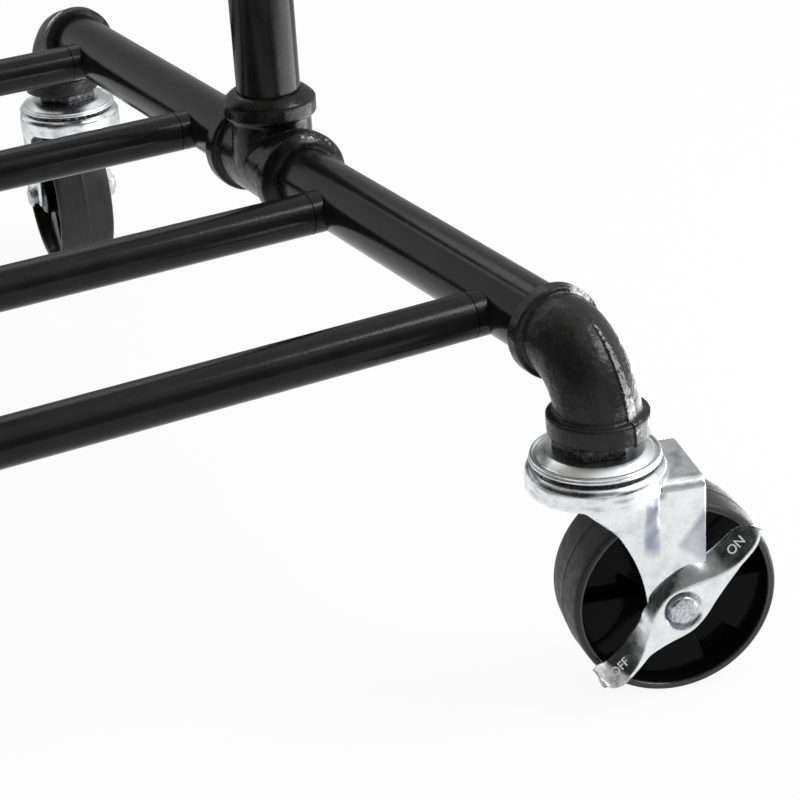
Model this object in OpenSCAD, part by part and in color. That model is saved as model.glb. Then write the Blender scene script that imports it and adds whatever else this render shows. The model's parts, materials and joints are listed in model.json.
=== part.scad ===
// Bar cart on casters, built from black pipe and screwed cast fittings.
// Frame: X runs along the slat rods, Y along the end rails, Z up.
// The origin is on the floor, under the middle of the cart.

/* [Cart] */
// Distance between the axes of the two end rails
cart_l = 760; // [560:5:1000]
// Distance from the middle of the cart to each caster stem, along an end rail
stem_y = 247; // [232:1:300]
// Height from the lower rails' axis to the upper rails' axis
tier_h = 690; // [400:5:900]

/* [Pipe] */
// Outside diameter of the rails and posts
pipe_d = 26.7; // [25:0.1:27.5]
// Wall of the rails and posts
pipe_wall = 2.3; // [1.6:0.1:3]
// Radial clearance of a pipe or a tube in what it enters
seat_gap = 0.1; // [0.05:0.01:0.2]

/* [Slat rods] */
// Outside diameter of a slat rod
rod_d = 17.1; // [15:0.1:18]
// Wall of a slat rod
rod_wall = 1.6; // [1:0.1:2.4]
// Distance between neighbouring slat rods
rod_pitch = 128; // [110:1:140]
// Slat rods in each tier
rod_count = 4; // [2:1:4]
// How far the rods' axes lie under the rails' axis
rod_drop = 1; // [0:0.1:3]
// Distance from the rail's axis to the end of the welded stub
stub_end = 17; // [15:0.5:24]
// Width of the seam between a stub and its rod
seam_w = 0.4; // [0.2:0.1:1]
// Length of the spigot inside the rod
spigot_l = 14; // [8:1:25]

/* [Tee] */
// Length of each arm, from the centre to its end
tee_arm = 31.5; // [30:0.5:38]
// Diameter of the body
tee_body_d = 34.4; // [33:0.1:36]
// Diameter of the bead round each end
tee_bead_d = 38.8; // [38.2:0.1:41]
// Length of the bead, with its rounded end
tee_bead_l = 4.3; // [3.5:0.1:5.5]
// Diameter of the band behind the bead
tee_band_d = 37; // [36.5:0.1:38]
// Length of the bead and the band together
tee_band_l = 10.8; // [8:0.1:12]
// Depth of each socket
tee_socket = 12; // [8:0.5:15]

/* [Elbow] */
// Length of each arm, from the centre to its end
elbow_arm = 28; // [27:0.5:34]
// Diameter of the body
elbow_body_d = 30.5; // [30.3:0.1:33]
// Diameter of the band round each end
elbow_band_d = 36.6; // [36:0.1:38]
// Length of the band
elbow_band_l = 6.5; // [5:0.1:8]
// Depth of each socket
elbow_socket = 9.5; // [8:0.5:10.5]
// Diameter of the waterway inside the fittings
waterway_d = 21; // [18:0.5:22]
// Width of the casting flash along the outer bend
flash_w = 1.6; // [0.8:0.1:3]
// Height of the casting flash
flash_h = 0.7; // [0.3:0.1:1.2]

/* [Caster head] */
// Width of the hexagonal bush across its flats
hex_af = 27; // [24:0.5:32]
// Height of the hexagonal bush under the elbow
hex_h = 7.1; // [5:0.1:12]
// Diameter of the swivel stem
stem_d = 12; // [10:0.5:14]
// Diameter of the rivet head under the fork
rivet_d = 20; // [17:0.5:24]
// Thickness of the rivet head
rivet_h = 3; // [2:0.1:4]
// Radial running clearance of the swivel stem, the axle sleeve and the lever
run_gap = 0.06; // [0.03:0.01:0.1]
// Radius of the flat middle of the raceway
race_flat_r = 17.9; // [17.5:0.1:18.6]
// Radius of the groove inside the raceway's rim
race_groove_r = 21.2; // [20.5:0.1:21.8]
// Radius of the raceway's rim
race_r = 23.2; // [22.8:0.1:24.5]
// Depth of the groove under the flat middle
race_dish = 2.6; // [1.5:0.1:3.2]
// Height of the rim over the groove
race_lip = 0.7; // [0.3:0.1:1.2]
// Height of the raceway, from its rim's lower edge to its flat middle
race_h = 4.1; // [3.6:0.1:5]
// Thickness of the raceway's sheet in the middle
race_t = 1.8; // [1.2:0.1:2]
// Gap between the raceway's rim and the fork's head
race_gap = 1.5; // [1:0.1:2]
// Diameter of each ball
ball_d = 3.1; // [2.5:0.1:3.2]
// Radius of the circle of balls
ball_ring_r = 14.5; // [13:0.1:16]
// Balls in each caster
ball_count = 22; // [12:1:24]

/* [Fork] */
// Height from the axle to the top of the fork's head
fork_rise = 52.3; // [50:0.1:60]
// Distance from the swivel axis to the axle
trail = 24; // [20:0.5:30]
// Thickness of the fork's sheet
fork_t = 2.5; // [2:0.1:3]
// Radius of the round head
head_r = 25; // [24.5:0.1:27]
// Depth of the round head's skirt
head_h = 8.6; // [6:0.1:10]
// Radius of the head's upper edge
head_edge_r = 3; // [2.6:0.1:4]
// How far the shoulder lies under the top of the head
shoulder_drop = 4.2; // [3:0.1:6]
// Distance from the axle to the fork's trailing edge
tail_s = 10; // [8:0.5:14]
// Half of the fork's width, over its legs
fork_half_w = 18.4; // [18:0.1:21]
// Radius of the fold between the shoulder and the legs
fold_r = 4; // [3:0.1:5]
// Radius of the legs' lower ends
leg_end_r = 11.5; // [10:0.1:13]
// Radius of the legs' curved leading edge
lead_r = 59.5; // [55:0.5:70]
// Width of the pressed rib
rib_w = 6; // [4:0.5:8]
// Height of the pressed rib over the leg
rib_h = 1.1; // [0.6:0.1:1.6]
// Length of the pressed rib
rib_l = 22; // [14:0.5:26]
// Distance from the swivel axis to the pressed rib
rib_s = 14; // [12:0.5:18]

/* [Wheel] */
// Diameter of the wheel
wheel_d = 76; // [68:0.5:78]
// Width of the wheel
wheel_w = 28; // [24:0.5:29]
// How far the tread's edges drop under its middle
crown_h = 0.8; // [0.3:0.1:1.5]
// Radius of the wheel's edges
wheel_edge_r = 2; // [1:0.1:3]
// Width of the flat ring round each side
side_ring_w = 3.2; // [2.5:0.1:6]
// How far the ring's inner wall slopes in towards the web
ring_slope = 2.5; // [1:0.1:4]
// Depth of the pockets between the spokes
pocket_h = 10; // [8:0.5:11]
// Depth of the spokes' faces
spoke_sink = 4.5; // [2:0.5:6]
// Spokes on each side
spoke_count = 5; // [3:1:7]
// Angle that each spoke takes up
spoke_angle = 44; // [20:1:48]
// Direction of the first spoke from the trail line
spoke_turn = 55; // [0:1:70]
// Diameter of the hub
hub_d = 20; // [18:0.5:24]
// Diameter of the axle bolt
axle_d = 8; // [6:0.5:8.5]
// Wall of the axle sleeve
sleeve_wall = 2; // [1.5:0.1:3]
// Gap between the hub and each leg
hub_gap = 1.7; // [0.3:0.1:2.5]
// Diameter of the bolt's domed head
bolt_head_d = 10.8; // [10:0.1:12.5]
// Height of the bolt's domed head
bolt_head_h = 3.4; // [2.5:0.1:4]
// Width of the axle nut across its flats
nut_af = 13; // [12:0.5:15]
// Height of the axle nut
nut_h = 5; // [4:0.1:7]

/* [Brake lever] */
// Thickness of the lever's sheet
lever_t = 2; // [1.5:0.1:2.5]
// Distance from the leg to the lever's outer face
lever_out = 4.6; // [4.2:0.1:5.5]
// Gap between the leg and the lever's boss
lever_gap = 0.3; // [0.2:0.1:0.5]
// Tilt of the lever over the trail line, in degrees
lever_tilt = 40.7; // [36:0.1:44]
// Distance from the axle to the lever's tips
lever_reach = 38; // [36:0.5:40]
// Distance from the axle to the inner ends of the two pads
pad_root = 20; // [18:0.5:24]
// Gap between a pad and the wheel's side
pad_gap = 1; // [0.5:0.1:1.5]
// How far each pad rises across its width
pad_rise = 6; // [4:0.1:8]
// Diameter of the dished recess round the bolt
dish_d = 14; // [13:0.5:15]

/* [Top] */
// Thickness of the wooden board
board_t = 18; // [12:1:28]
// Gap between the board and the bands round the fittings
board_gap = 3; // [1:0.5:8]
// Radius of the board's corners
board_corner_r = 8; // [4:1:20]
// Thickness of a strap's sheet
strap_t = 1.5; // [1:0.1:2]
// Width of a strap
strap_w = 14; // [10:1:20]
// Length of each of a strap's feet
strap_foot = 15; // [12:1:20]
// Straps along each outer rod
strap_count = 3; // [2:1:5]
// Diameter of a screw
screw_d = 4; // [3:0.5:5]
// Length of a screw in the board
screw_l = 10; // [6:1:11]
// Diameter of a screw's head
screw_head_d = 8; // [6.5:0.5:9]
// Height of a screw's head
screw_head_h = 2.4; // [1.5:0.1:3]

/* [Swivel angles] */
// Trail direction of the front right caster
turn_a = -15.5; // [-180:0.5:180]
// Trail direction of the front left caster
turn_b = 263; // [-180:0.5:360]
// Trail direction of the back right caster
turn_c = 83; // [-180:0.5:360]
// Trail direction of the back left caster
turn_d = 164.5; // [-180:0.5:360]

/* [Hidden] */
$fn = 96;

pipe_r = pipe_d / 2;
rod_r = rod_d / 2;
stem_r = stem_d / 2;
axle_r = axle_d / 2;
wheel_r = wheel_d / 2;
half_w = wheel_w / 2;
sleeve_r = axle_r + sleeve_wall;
socket_r = pipe_r + seat_gap;

// Heights over the floor, from the wheels up
axle_z = wheel_r;
head_z = axle_z + fork_rise;
race_z = head_z + race_gap;
hex_z = race_z + race_h;
elbow_z = hex_z + hex_h;
rail_z = elbow_z + elbow_arm;
top_z = rail_z + tier_h;
board_z = top_z - rod_drop + rod_r;

end_x = cart_l / 2;
slat_y = [for (i = [0 : rod_count - 1]) (i - (rod_count - 1) / 2) * rod_pitch];
board_x = end_x - tee_bead_d / 2 - board_gap;
board_y = stem_y - elbow_band_d / 2 - board_gap;
strap_x = end_x - stub_end - 60;
strap_r = rod_r + seat_gap;
foot_y = strap_r + strap_foot / 2;
bolt_gap = 0.1;
lap = 1;
eps = 0.01;

// Where each caster stands, which way it trails and from which side its bolt goes in:
// x side, y side, trail angle, bolt side
casters = [
    [1, -1, turn_a, 1],
    [-1, -1, turn_b, 1],
    [1, 1, turn_c, -1],
    [-1, 1, turn_d, 1],
];

// Points of an arc, from one angle to another
function arc(c, r, a0, a1, n = 10) =
    [for (i = [0 : n]) c + r * [cos(a0 + (a1 - a0) * i / n), sin(a0 + (a1 - a0) * i / n)]];

module at_caster(i) {
    c = casters[i];
    translate([c[0] * end_x, c[1] * stem_y, 0]) rotate([0, 0, c[2]]) children();
}

// Local frame of a wheel: origin on the axle, Z outwards on the bolt head's side
module at_axle() {
    translate([trail, 0, axle_z]) rotate([90, 0, 0]) children();
}

// ---------- Fittings ----------

module tee_arm_outside() {
    bead_r = tee_bead_d / 2;
    rotate_extrude() polygon([
        [0, 0],
        [tee_body_d / 2, 0],
        [tee_body_d / 2, tee_arm - tee_band_l],
        [tee_band_d / 2, tee_arm - tee_band_l],
        [tee_band_d / 2, tee_arm - tee_bead_l],
        [bead_r, tee_arm - tee_bead_l],
        [bead_r, tee_arm - tee_bead_l * 0.75],
        [bead_r - 0.7, tee_arm - tee_bead_l * 0.48],
        [pipe_r + 1.2, tee_arm],
        [0, tee_arm],
    ]);
}

module socket(arm, depth) {
    translate([0, 0, arm - depth]) cylinder(h = depth + 1, r = socket_r);
}

// Tee: the run lies along Y and the branch points up
module tee() {
    color([0.09, 0.09, 0.1]) difference() {
        union() {
            for (a = [-90, 0, 90]) rotate([a, 0, 0]) tee_arm_outside();
        }
        for (a = [-90, 0, 90]) rotate([a, 0, 0]) {
            socket(tee_arm, tee_socket);
            cylinder(h = tee_arm, d = waterway_d);
        }
    }
}

// Elbow: one arm points along -Y and the other down
module elbow() {
    bend_r = elbow_arm - elbow_band_l;
    out_r = bend_r + elbow_body_d / 2;
    color([0.09, 0.09, 0.1]) difference() {
        union() {
            for (a = [90, 180]) rotate([a, 0, 0]) translate([0, 0, bend_r])
                cylinder(h = elbow_band_l, d = elbow_band_d);
            translate([0, -bend_r, -bend_r]) rotate([0, -90, 0])
                rotate_extrude(angle = 90) translate([bend_r, 0]) circle(d = elbow_body_d);
            translate([0, -bend_r, -bend_r]) rotate([0, -90, 0])
                rotate_extrude(angle = 90) translate([out_r - 1, -flash_w / 2])
                    square([1 + flash_h, flash_w]);
        }
        translate([0, -bend_r, -bend_r]) rotate([0, -90, 0])
            rotate_extrude(angle = 90) translate([bend_r, 0]) circle(d = waterway_d);
        for (a = [90, 180]) rotate([a, 0, 0]) {
            socket(elbow_arm, elbow_socket);
            translate([0, 0, bend_r - eps]) cylinder(h = elbow_band_l, d = waterway_d);
        }
    }
}

module base_tee(side) {
    translate([side * end_x, 0, rail_z]) tee();
}

module base_elbow(i) {
    c = casters[i];
    translate([c[0] * end_x, c[1] * stem_y, rail_z]) scale([1, c[1], 1]) elbow();
}

module top_tee(side) {
    translate([side * end_x, 0, top_z]) rotate([180, 0, 0]) tee();
}

// Corner elbow of the upper ring, lying flat
module top_elbow(i) {
    c = casters[i];
    translate([c[0] * end_x, c[1] * stem_y, top_z]) scale([c[0], c[1], 1])
        rotate([0, 90, 0]) elbow();
}

// ---------- Pipes and rods ----------

module tube(len, r, wall) {
    difference() {
        cylinder(h = len, r = r);
        translate([0, 0, -1]) cylinder(h = len + 2, r = r - wall);
    }
}

// Two pipes, from the tee's sockets to the elbows' sockets
module end_rail(side, z) {
    y0 = tee_arm - tee_socket;
    y1 = stem_y - elbow_arm + elbow_socket;
    color([0.06, 0.06, 0.06]) for (s = [-1, 1])
        translate([side * end_x, s * y0, z]) rotate([-90 * s, 0, 0]) tube(y1 - y0, pipe_r, pipe_wall);
}

module side_rail(side) {
    x1 = end_x - elbow_arm + elbow_socket;
    color([0.06, 0.06, 0.06])
        translate([-x1, side * stem_y, top_z]) rotate([0, 90, 0]) tube(2 * x1, pipe_r, pipe_wall);
}

module post(side) {
    z0 = tee_arm - tee_socket;
    color([0.06, 0.06, 0.06])
        translate([side * end_x, 0, rail_z + z0]) tube(tier_h - 2 * z0, pipe_r, pipe_wall);
}

module slat_rod(i, z) {
    x1 = end_x - stub_end - seam_w;
    color([0.06, 0.06, 0.06]) if (i < rod_count)
        translate([-x1, slat_y[i], z - rod_drop]) rotate([0, 90, 0]) tube(2 * x1, rod_r, rod_wall);
}

// Short stubs welded to the rails, each with a spigot that enters its rod
module stubs(z) {
    color([0.06, 0.06, 0.06]) for (s = [-1, 1]) for (y = slat_y) difference() {
        translate([s * end_x, y, z - rod_drop]) rotate([0, -90 * s, 0]) {
            cylinder(h = stub_end, r = rod_r);
            cylinder(h = stub_end + spigot_l, r = rod_r - rod_wall - seat_gap);
        }
        translate([s * end_x, y - rod_d, z]) rotate([-90, 0, 0])
            cylinder(h = 2 * rod_d, r = pipe_r + seat_gap / 2);
    }
}

// ---------- Board ----------

module screw_places() {
    for (i = [0, rod_count - 1]) for (k = [0 : strap_count - 1]) {
        x = -strap_x + 2 * strap_x * k / (strap_count - 1);
        for (f = [-1, 1]) translate([x, slat_y[i] + f * foot_y, board_z]) children();
    }
}

module board() {
    color([0.55, 0.36, 0.2]) difference() {
        translate([0, 0, board_z]) linear_extrude(board_t) union() {
            square([2 * board_x, 2 * (board_y - board_corner_r)], center = true);
            square([2 * (board_x - board_corner_r), 2 * board_y], center = true);
            for (x = [-1, 1]) for (y = [-1, 1])
                translate([x * (board_x - board_corner_r), y * (board_y - board_corner_r)])
                    circle(r = board_corner_r);
        }
        screw_places() translate([0, 0, -1]) cylinder(h = screw_l + 2, d = screw_d + 2 * seat_gap);
    }
}

// Saddle straps that hold the board down on the outer rods
module board_straps() {
    out_r = strap_r + strap_t;
    color([0.1, 0.1, 0.1]) for (i = [0, rod_count - 1]) for (k = [0 : strap_count - 1])
        translate([-strap_x + 2 * strap_x * k / (strap_count - 1), slat_y[i], board_z - rod_r])
            rotate([90, 0, 90]) translate([0, 0, -strap_w / 2]) difference() {
                linear_extrude(strap_w) difference() {
                    union() {
                        intersection() {
                            circle(r = out_r);
                            translate([-out_r, -out_r]) square([2 * out_r, out_r]);
                        }
                        translate([-out_r, -eps]) square([2 * out_r, rod_r + eps]);
                        translate([-strap_r - strap_foot, rod_r - strap_t])
                            square([2 * (strap_r + strap_foot), strap_t]);
                    }
                    circle(r = strap_r);
                    translate([-strap_r, 0]) square([2 * strap_r, rod_r + 1]);
                }
                for (f = [-1, 1]) translate([f * foot_y, 0, strap_w / 2]) rotate([-90, 0, 0])
                    cylinder(h = rod_r + 1, d = screw_d + 2 * seat_gap);
            }
}

module board_screws() {
    color("silver") screw_places() {
        translate([0, 0, -strap_t]) cylinder(h = strap_t + screw_l, d = screw_d);
        translate([0, 0, -strap_t - screw_head_h]) cylinder(h = screw_head_h, d = screw_head_d);
    }
}

// ---------- Caster heads ----------

module stem_bushes() {
    color([0.1, 0.1, 0.1]) for (c = casters) translate([c[0] * end_x, c[1] * stem_y, hex_z])
        difference() {
            union() {
                cylinder(h = hex_h, d = hex_af / cos(30), $fn = 6);
                cylinder(h = hex_h + elbow_socket, r = pipe_r);
            }
            translate([0, 0, -1]) cylinder(h = hex_h + elbow_socket + 2, r = stem_r + seat_gap);
        }
}

module caster_stems() {
    under_z = head_z - fork_t - lever_gap;
    color("silver") for (c = casters) translate([c[0] * end_x, c[1] * stem_y, under_z]) {
        cylinder(h = elbow_z + elbow_socket - under_z, r = stem_r);
        translate([0, 0, -rivet_h]) cylinder(h = rivet_h, d = rivet_d);
    }
}

module raceways() {
    color("silver") for (c = casters) translate([c[0] * end_x, c[1] * stem_y, race_z])
        rotate_extrude() polygon([
            [stem_r + seat_gap, race_h],
            [race_flat_r, race_h],
            [race_groove_r, race_h - race_dish],
            [race_groove_r, race_h - race_dish + race_lip],
            [race_r, race_h - race_dish + race_lip],
            [race_r, 0],
            [race_groove_r - 0.7, 0],
            [race_flat_r - 0.9, race_h - race_t],
            [stem_r + seat_gap, race_h - race_t],
        ]);
}

module race_balls() {
    ball_z = (head_z + race_z + race_h - race_t) / 2;
    color("silver") for (c = casters) for (k = [0 : ball_count - 1])
        translate([c[0] * end_x, c[1] * stem_y, ball_z]) rotate([0, 0, 360 * k / ball_count])
            translate([ball_ring_r, 0, 0]) sphere(d = ball_d, $fn = 32);
}

// ---------- Forks ----------

// Side view of a leg and its shoulder: X along the trail, Y up from the axle
module leg_outline() {
    top = fork_rise - shoulder_drop;
    lead = [-lead_r - 11.7, -3.3];
    polygon(concat(
        [[tail_s, top], [tail_s, 17]],
        arc([0, 0], leg_end_r, 30, -180, 16),
        arc(lead, lead_r, asin(3.3 / lead_r), asin((fork_rise - head_h + 3.3) / lead_r), 10),
        [[-trail - head_r + fold_r * 2, fork_rise - head_h], [-trail - head_r + fold_r * 2, top]]
    ));
}

// End view of the folded sheet
module channel(h, half, r) {
    translate([-half, -h]) square([2 * half, h - r]);
    translate([-half + r, -r - eps]) square([2 * (half - r), r + eps]);
    for (s = [-1, 1]) translate([s * (half - r), -r]) circle(r = r);
}

module fork(i) {
    top = fork_rise - shoulder_drop;
    deep = top + leg_end_r + 1;
    skirt_z = head_z - head_h;
    rib_r = (rib_w * rib_w / 4 + rib_h * rib_h) / (2 * rib_h);
    rib_a = asin(rib_w / 2 / rib_r);
    rib_z = axle_z + top - fold_r - rib_l;
    color("silver") at_caster(i) difference() {
        union() {
            // Legs and shoulder
            intersection() {
                translate([0, 0, axle_z + top]) rotate([90, 0, 90])
                    translate([0, 0, -head_r]) linear_extrude(2 * trail + head_r) difference() {
                        channel(deep, fork_half_w, fold_r);
                        translate([0, -fork_t]) channel(deep, fork_half_w - fork_t, fold_r - fork_t);
                    }
                at_axle() translate([0, 0, -fork_half_w]) linear_extrude(2 * fork_half_w)
                    leg_outline();
            }
            // Round head
            translate([0, 0, skirt_z]) rotate_extrude() polygon(concat(
                [[0, head_h - fork_t], [head_r - fork_t, head_h - fork_t]],
                [[head_r - fork_t, 0], [head_r, 0]],
                arc([head_r - head_edge_r, head_h - head_edge_r], head_edge_r, 0, 90, 8),
                [[0, head_h]]
            ));
            // Pressed ribs
            for (s = [1, -1]) scale([1, s, 1]) translate([rib_s, fork_half_w - eps, rib_z])
                linear_extrude(rib_l) polygon(arc([0, rib_h - rib_r], rib_r, 90 - rib_a, 90 + rib_a, 8));
        }
        translate([0, 0, head_z - fork_t - 1]) cylinder(h = fork_t + 2, r = stem_r + run_gap);
        translate([0, 0, skirt_z]) cylinder(h = head_h - fork_t, d = rivet_d + 2);
        at_axle() translate([0, 0, -fork_half_w - 1])
            cylinder(h = 2 * fork_half_w + 2, r = axle_r + bolt_gap);
    }
}

module axle_sleeve(i) {
    len = 2 * (fork_half_w - fork_t);
    color("silver") at_caster(i) at_axle() translate([0, 0, -len / 2]) difference() {
        cylinder(h = len, r = sleeve_r);
        translate([0, 0, -1]) cylinder(h = len + 2, r = axle_r + bolt_gap);
    }
}

// Bolt with a domed head, and its nut on the far side
module axle_bolt(i) {
    braked = i < 2;
    seat = fork_half_w + (braked ? lever_gap + lever_t : 0);
    dome_r = (bolt_head_d * bolt_head_d / 4 + bolt_head_h * bolt_head_h) / (2 * bolt_head_h);
    color("silver") at_caster(i) at_axle() rotate([0, casters[i][3] > 0 ? 0 : 180, 0]) {
        translate([0, 0, -fork_half_w - nut_h - 1.5])
            cylinder(h = 2 * fork_half_w + nut_h + 1.5 + seat - fork_half_w, r = axle_r);
        translate([0, 0, seat]) intersection() {
            cylinder(h = bolt_head_h, d = bolt_head_d);
            translate([0, 0, bolt_head_h - dome_r]) sphere(r = dome_r);
        }
        translate([0, 0, -fork_half_w - nut_h]) difference() {
            cylinder(h = nut_h, d = nut_af / cos(30), $fn = 6);
            translate([0, 0, -1]) cylinder(h = nut_h + 2, r = axle_r - eps);
        }
    }
}

// ---------- Wheels ----------

module wheel(i) {
    hub_half = fork_half_w - fork_t - hub_gap;
    ring_r = wheel_r - side_ring_w;
    web_half = half_w - pocket_h;
    edge_x = wheel_r - crown_h - wheel_edge_r;
    edge_y = half_w - wheel_edge_r;
    color([0.12, 0.12, 0.12]) at_caster(i) at_axle() difference() {
        union() {
            // Tread and side rings
            rotate_extrude() polygon(concat(
                [[ring_r - ring_slope, -web_half], [ring_r, -half_w]],
                arc([edge_x, -edge_y], wheel_edge_r, -90, -5, 4),
                [for (k = [-5 : 5]) [wheel_r - crown_h * k * k / 36, edge_y * k / 5.5]],
                arc([edge_x, edge_y], wheel_edge_r, 5, 90, 4),
                [[ring_r, half_w], [ring_r - ring_slope, web_half]]
            ));
            // Web and hub
            translate([0, 0, -web_half]) cylinder(h = 2 * web_half, r = ring_r - lap);
            translate([0, 0, -hub_half]) cylinder(h = 2 * hub_half, d = hub_d);
            // Spokes
            for (k = [0 : spoke_count - 1])
                rotate([0, 0, spoke_turn + 360 * k / spoke_count - spoke_angle / 2])
                    rotate_extrude(angle = spoke_angle)
                        translate([hub_d / 2 - lap, -half_w + spoke_sink])
                            square([ring_r - hub_d / 2 + 2 * lap, 2 * (half_w - spoke_sink)]);
        }
        translate([0, 0, -hub_half - 1]) cylinder(h = 2 * hub_half + 2, r = sleeve_r + run_gap);
    }
}

// ---------- Brake levers ----------

// Outer face of the lever: X along the lever towards its upper pad
module lever_outline() {
    r = lever_reach;
    polygon(concat(
        [[-r, -2], [-r + 5, -4.8], [-r + 13, -3.4], [-21.5, -2], [-15, -4.3], [-8, -7]],
        arc([0, 0], 8, -115, -70, 4),
        [[8.5, -6.4], [18, -4.3], [pad_root + 5.5, -2.2], [r - 7.5, -2.6], [r - 2.5, -1], [r, 1.6]],
        [[r - 3, 2.2], [pad_root + 5.5, 1], [pad_root - 4, 2.4], [9.5, 4.4]],
        arc([0, 0], 8.7, 58, 105, 5),
        [[-9, 6], [-pad_root, 0.6], [-r + 12, -1.4], [-r + 4, -1.2], [-r, 2]]
    ));
}

// Flange that bridges the leg between the two pads
module lever_bridge() {
    polygon(concat(
        [[-pad_root + 1, 1.4], [-10.5, 6]],
        arc([0, 0], 10.2, 122, 62, 6),
        [[11.5, 7.2], [pad_root - 1, 6]],
        [[pad_root - 1, 2.4], [10, 5]],
        arc([0, 0], dish_d / 2, 62, 122, 6),
        [[-pad_root + 1, -1.2]]
    ));
}

// Tilted pad: its section rises from the outer face towards the wheel
module pad(x0, x1, low) {
    z0 = half_w + pad_gap;
    z1 = fork_half_w + lever_out - lever_t / 4;
    translate([x0, 0, 0]) rotate([90, 0, 90]) linear_extrude(x1 - x0) polygon([
        [low, z1],
        [low + pad_rise, z0],
        [low + pad_rise - lever_t, z0],
        [low - lever_t, z1 - lever_t],
    ]);
}

module brake_lever(i) {
    z1 = fork_half_w + lever_out;
    boss_z = fork_half_w + lever_gap;
    color("silver") at_caster(i) at_axle() rotate([0, 0, lever_tilt]) difference() {
        union() {
            translate([0, 0, z1 - lever_t]) linear_extrude(lever_t) lever_outline();
            translate([0, 0, boss_z]) linear_extrude(lever_out - lever_gap - lever_t / 4) lever_bridge();
            translate([0, 0, boss_z]) cylinder(h = lever_out - lever_gap - lever_t / 2, d = dish_d + 1);
            pad(pad_root - 2, lever_reach - 2, -1.6);
            pad(-lever_reach + 2, -pad_root + 2, -3.6);
        }
        translate([0, 0, boss_z - 1]) cylinder(h = lever_t + 2, r = axle_r + run_gap);
        translate([0, 0, boss_z + lever_t]) cylinder(h = lever_out, d1 = dish_d - 1.4, d2 = dish_d + 1);
    }
}

base_tee(-1);  // base_tee_left
base_tee(1);  // base_tee_right
base_elbow(0);  // base_elbow_a
base_elbow(1);  // base_elbow_b
base_elbow(2);  // base_elbow_c
base_elbow(3);  // base_elbow_d
end_rail(-1, rail_z);  // base_rail_left
end_rail(1, rail_z);  // base_rail_right
slat_rod(0, rail_z);  // slat_rod_1
slat_rod(1, rail_z);  // slat_rod_2
slat_rod(2, rail_z);  // slat_rod_3
slat_rod(3, rail_z);  // slat_rod_4
stubs(rail_z);  // slat_stubs
post(-1);  // post_left
post(1);  // post_right
top_tee(-1);  // top_tee_left
top_tee(1);  // top_tee_right
top_elbow(0);  // top_elbow_a
top_elbow(1);  // top_elbow_b
top_elbow(2);  // top_elbow_c
top_elbow(3);  // top_elbow_d
end_rail(-1, top_z);  // top_end_rail_left
end_rail(1, top_z);  // top_end_rail_right
side_rail(-1);  // top_side_rail_front
side_rail(1);  // top_side_rail_back
slat_rod(0, top_z);  // top_rod_1
slat_rod(1, top_z);  // top_rod_2
slat_rod(2, top_z);  // top_rod_3
slat_rod(3, top_z);  // top_rod_4
stubs(top_z);  // top_stubs
board();
board_straps();
board_screws();
stem_bushes();
caster_stems();
raceways();
race_balls();
fork(0);  // fork_a
fork(1);  // fork_b
fork(2);  // fork_c
fork(3);  // fork_d
axle_sleeve(0);  // axle_sleeve_a
axle_sleeve(1);  // axle_sleeve_b
axle_sleeve(2);  // axle_sleeve_c
axle_sleeve(3);  // axle_sleeve_d
axle_bolt(0);  // axle_bolt_a
axle_bolt(1);  // axle_bolt_b
axle_bolt(2);  // axle_bolt_c
axle_bolt(3);  // axle_bolt_d
wheel(0);  // wheel_a
wheel(1);  // wheel_b
wheel(2);  // wheel_c
wheel(3);  // wheel_d
brake_lever(0);  // brake_lever_a
brake_lever(1);  // brake_lever_b
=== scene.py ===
# %% [markdown]
# # A bar cart on casters
#
# The cart is a frame of black pipe and screwed cast fittings with a wooden board on top, and it
# rolls on four swivel casters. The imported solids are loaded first, as a fixed frame. Pipes, rods
# and small hardware already have the right shape, so they keep their mesh and get a finish. Cast,
# pressed and moulded pieces have soft forms that plain solids leave out, so they are modelled
# again here, each in the place of its solid.

# %% Load the frame
import json
import math
import bmesh
import bpy
from mathutils import Matrix, Vector, noise


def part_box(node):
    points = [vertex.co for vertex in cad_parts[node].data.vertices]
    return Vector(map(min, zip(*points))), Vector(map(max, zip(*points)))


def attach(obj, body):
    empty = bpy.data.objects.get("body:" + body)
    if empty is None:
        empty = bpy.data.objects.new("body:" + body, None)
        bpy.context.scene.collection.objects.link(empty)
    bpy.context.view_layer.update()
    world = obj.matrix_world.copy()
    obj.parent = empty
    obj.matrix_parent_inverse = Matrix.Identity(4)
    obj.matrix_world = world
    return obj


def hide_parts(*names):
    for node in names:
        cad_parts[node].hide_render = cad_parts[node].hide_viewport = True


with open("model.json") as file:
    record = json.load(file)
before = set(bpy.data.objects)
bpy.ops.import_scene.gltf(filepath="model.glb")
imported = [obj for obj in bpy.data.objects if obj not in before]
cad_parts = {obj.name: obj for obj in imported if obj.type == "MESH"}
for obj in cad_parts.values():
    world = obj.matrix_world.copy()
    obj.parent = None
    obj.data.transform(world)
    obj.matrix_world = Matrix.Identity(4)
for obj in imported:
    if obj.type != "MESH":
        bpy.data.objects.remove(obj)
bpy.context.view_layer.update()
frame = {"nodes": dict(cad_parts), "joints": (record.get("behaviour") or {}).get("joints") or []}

MM = 0.001

# %% [markdown]
# ## Where things are
#
# Every place is read from the frame and none is typed in, so no piece can drift away from its
# solid. The box of a pipe gives its axis and its radius. The joints give each caster's stem and
# axle, and with them the way the caster trails.

# %% Places from the frame
def middle(name):
    low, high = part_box(name)
    return (Vector(low) + Vector(high)) / 2


def size(name):
    low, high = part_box(name)
    return Vector(high) - Vector(low)


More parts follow.
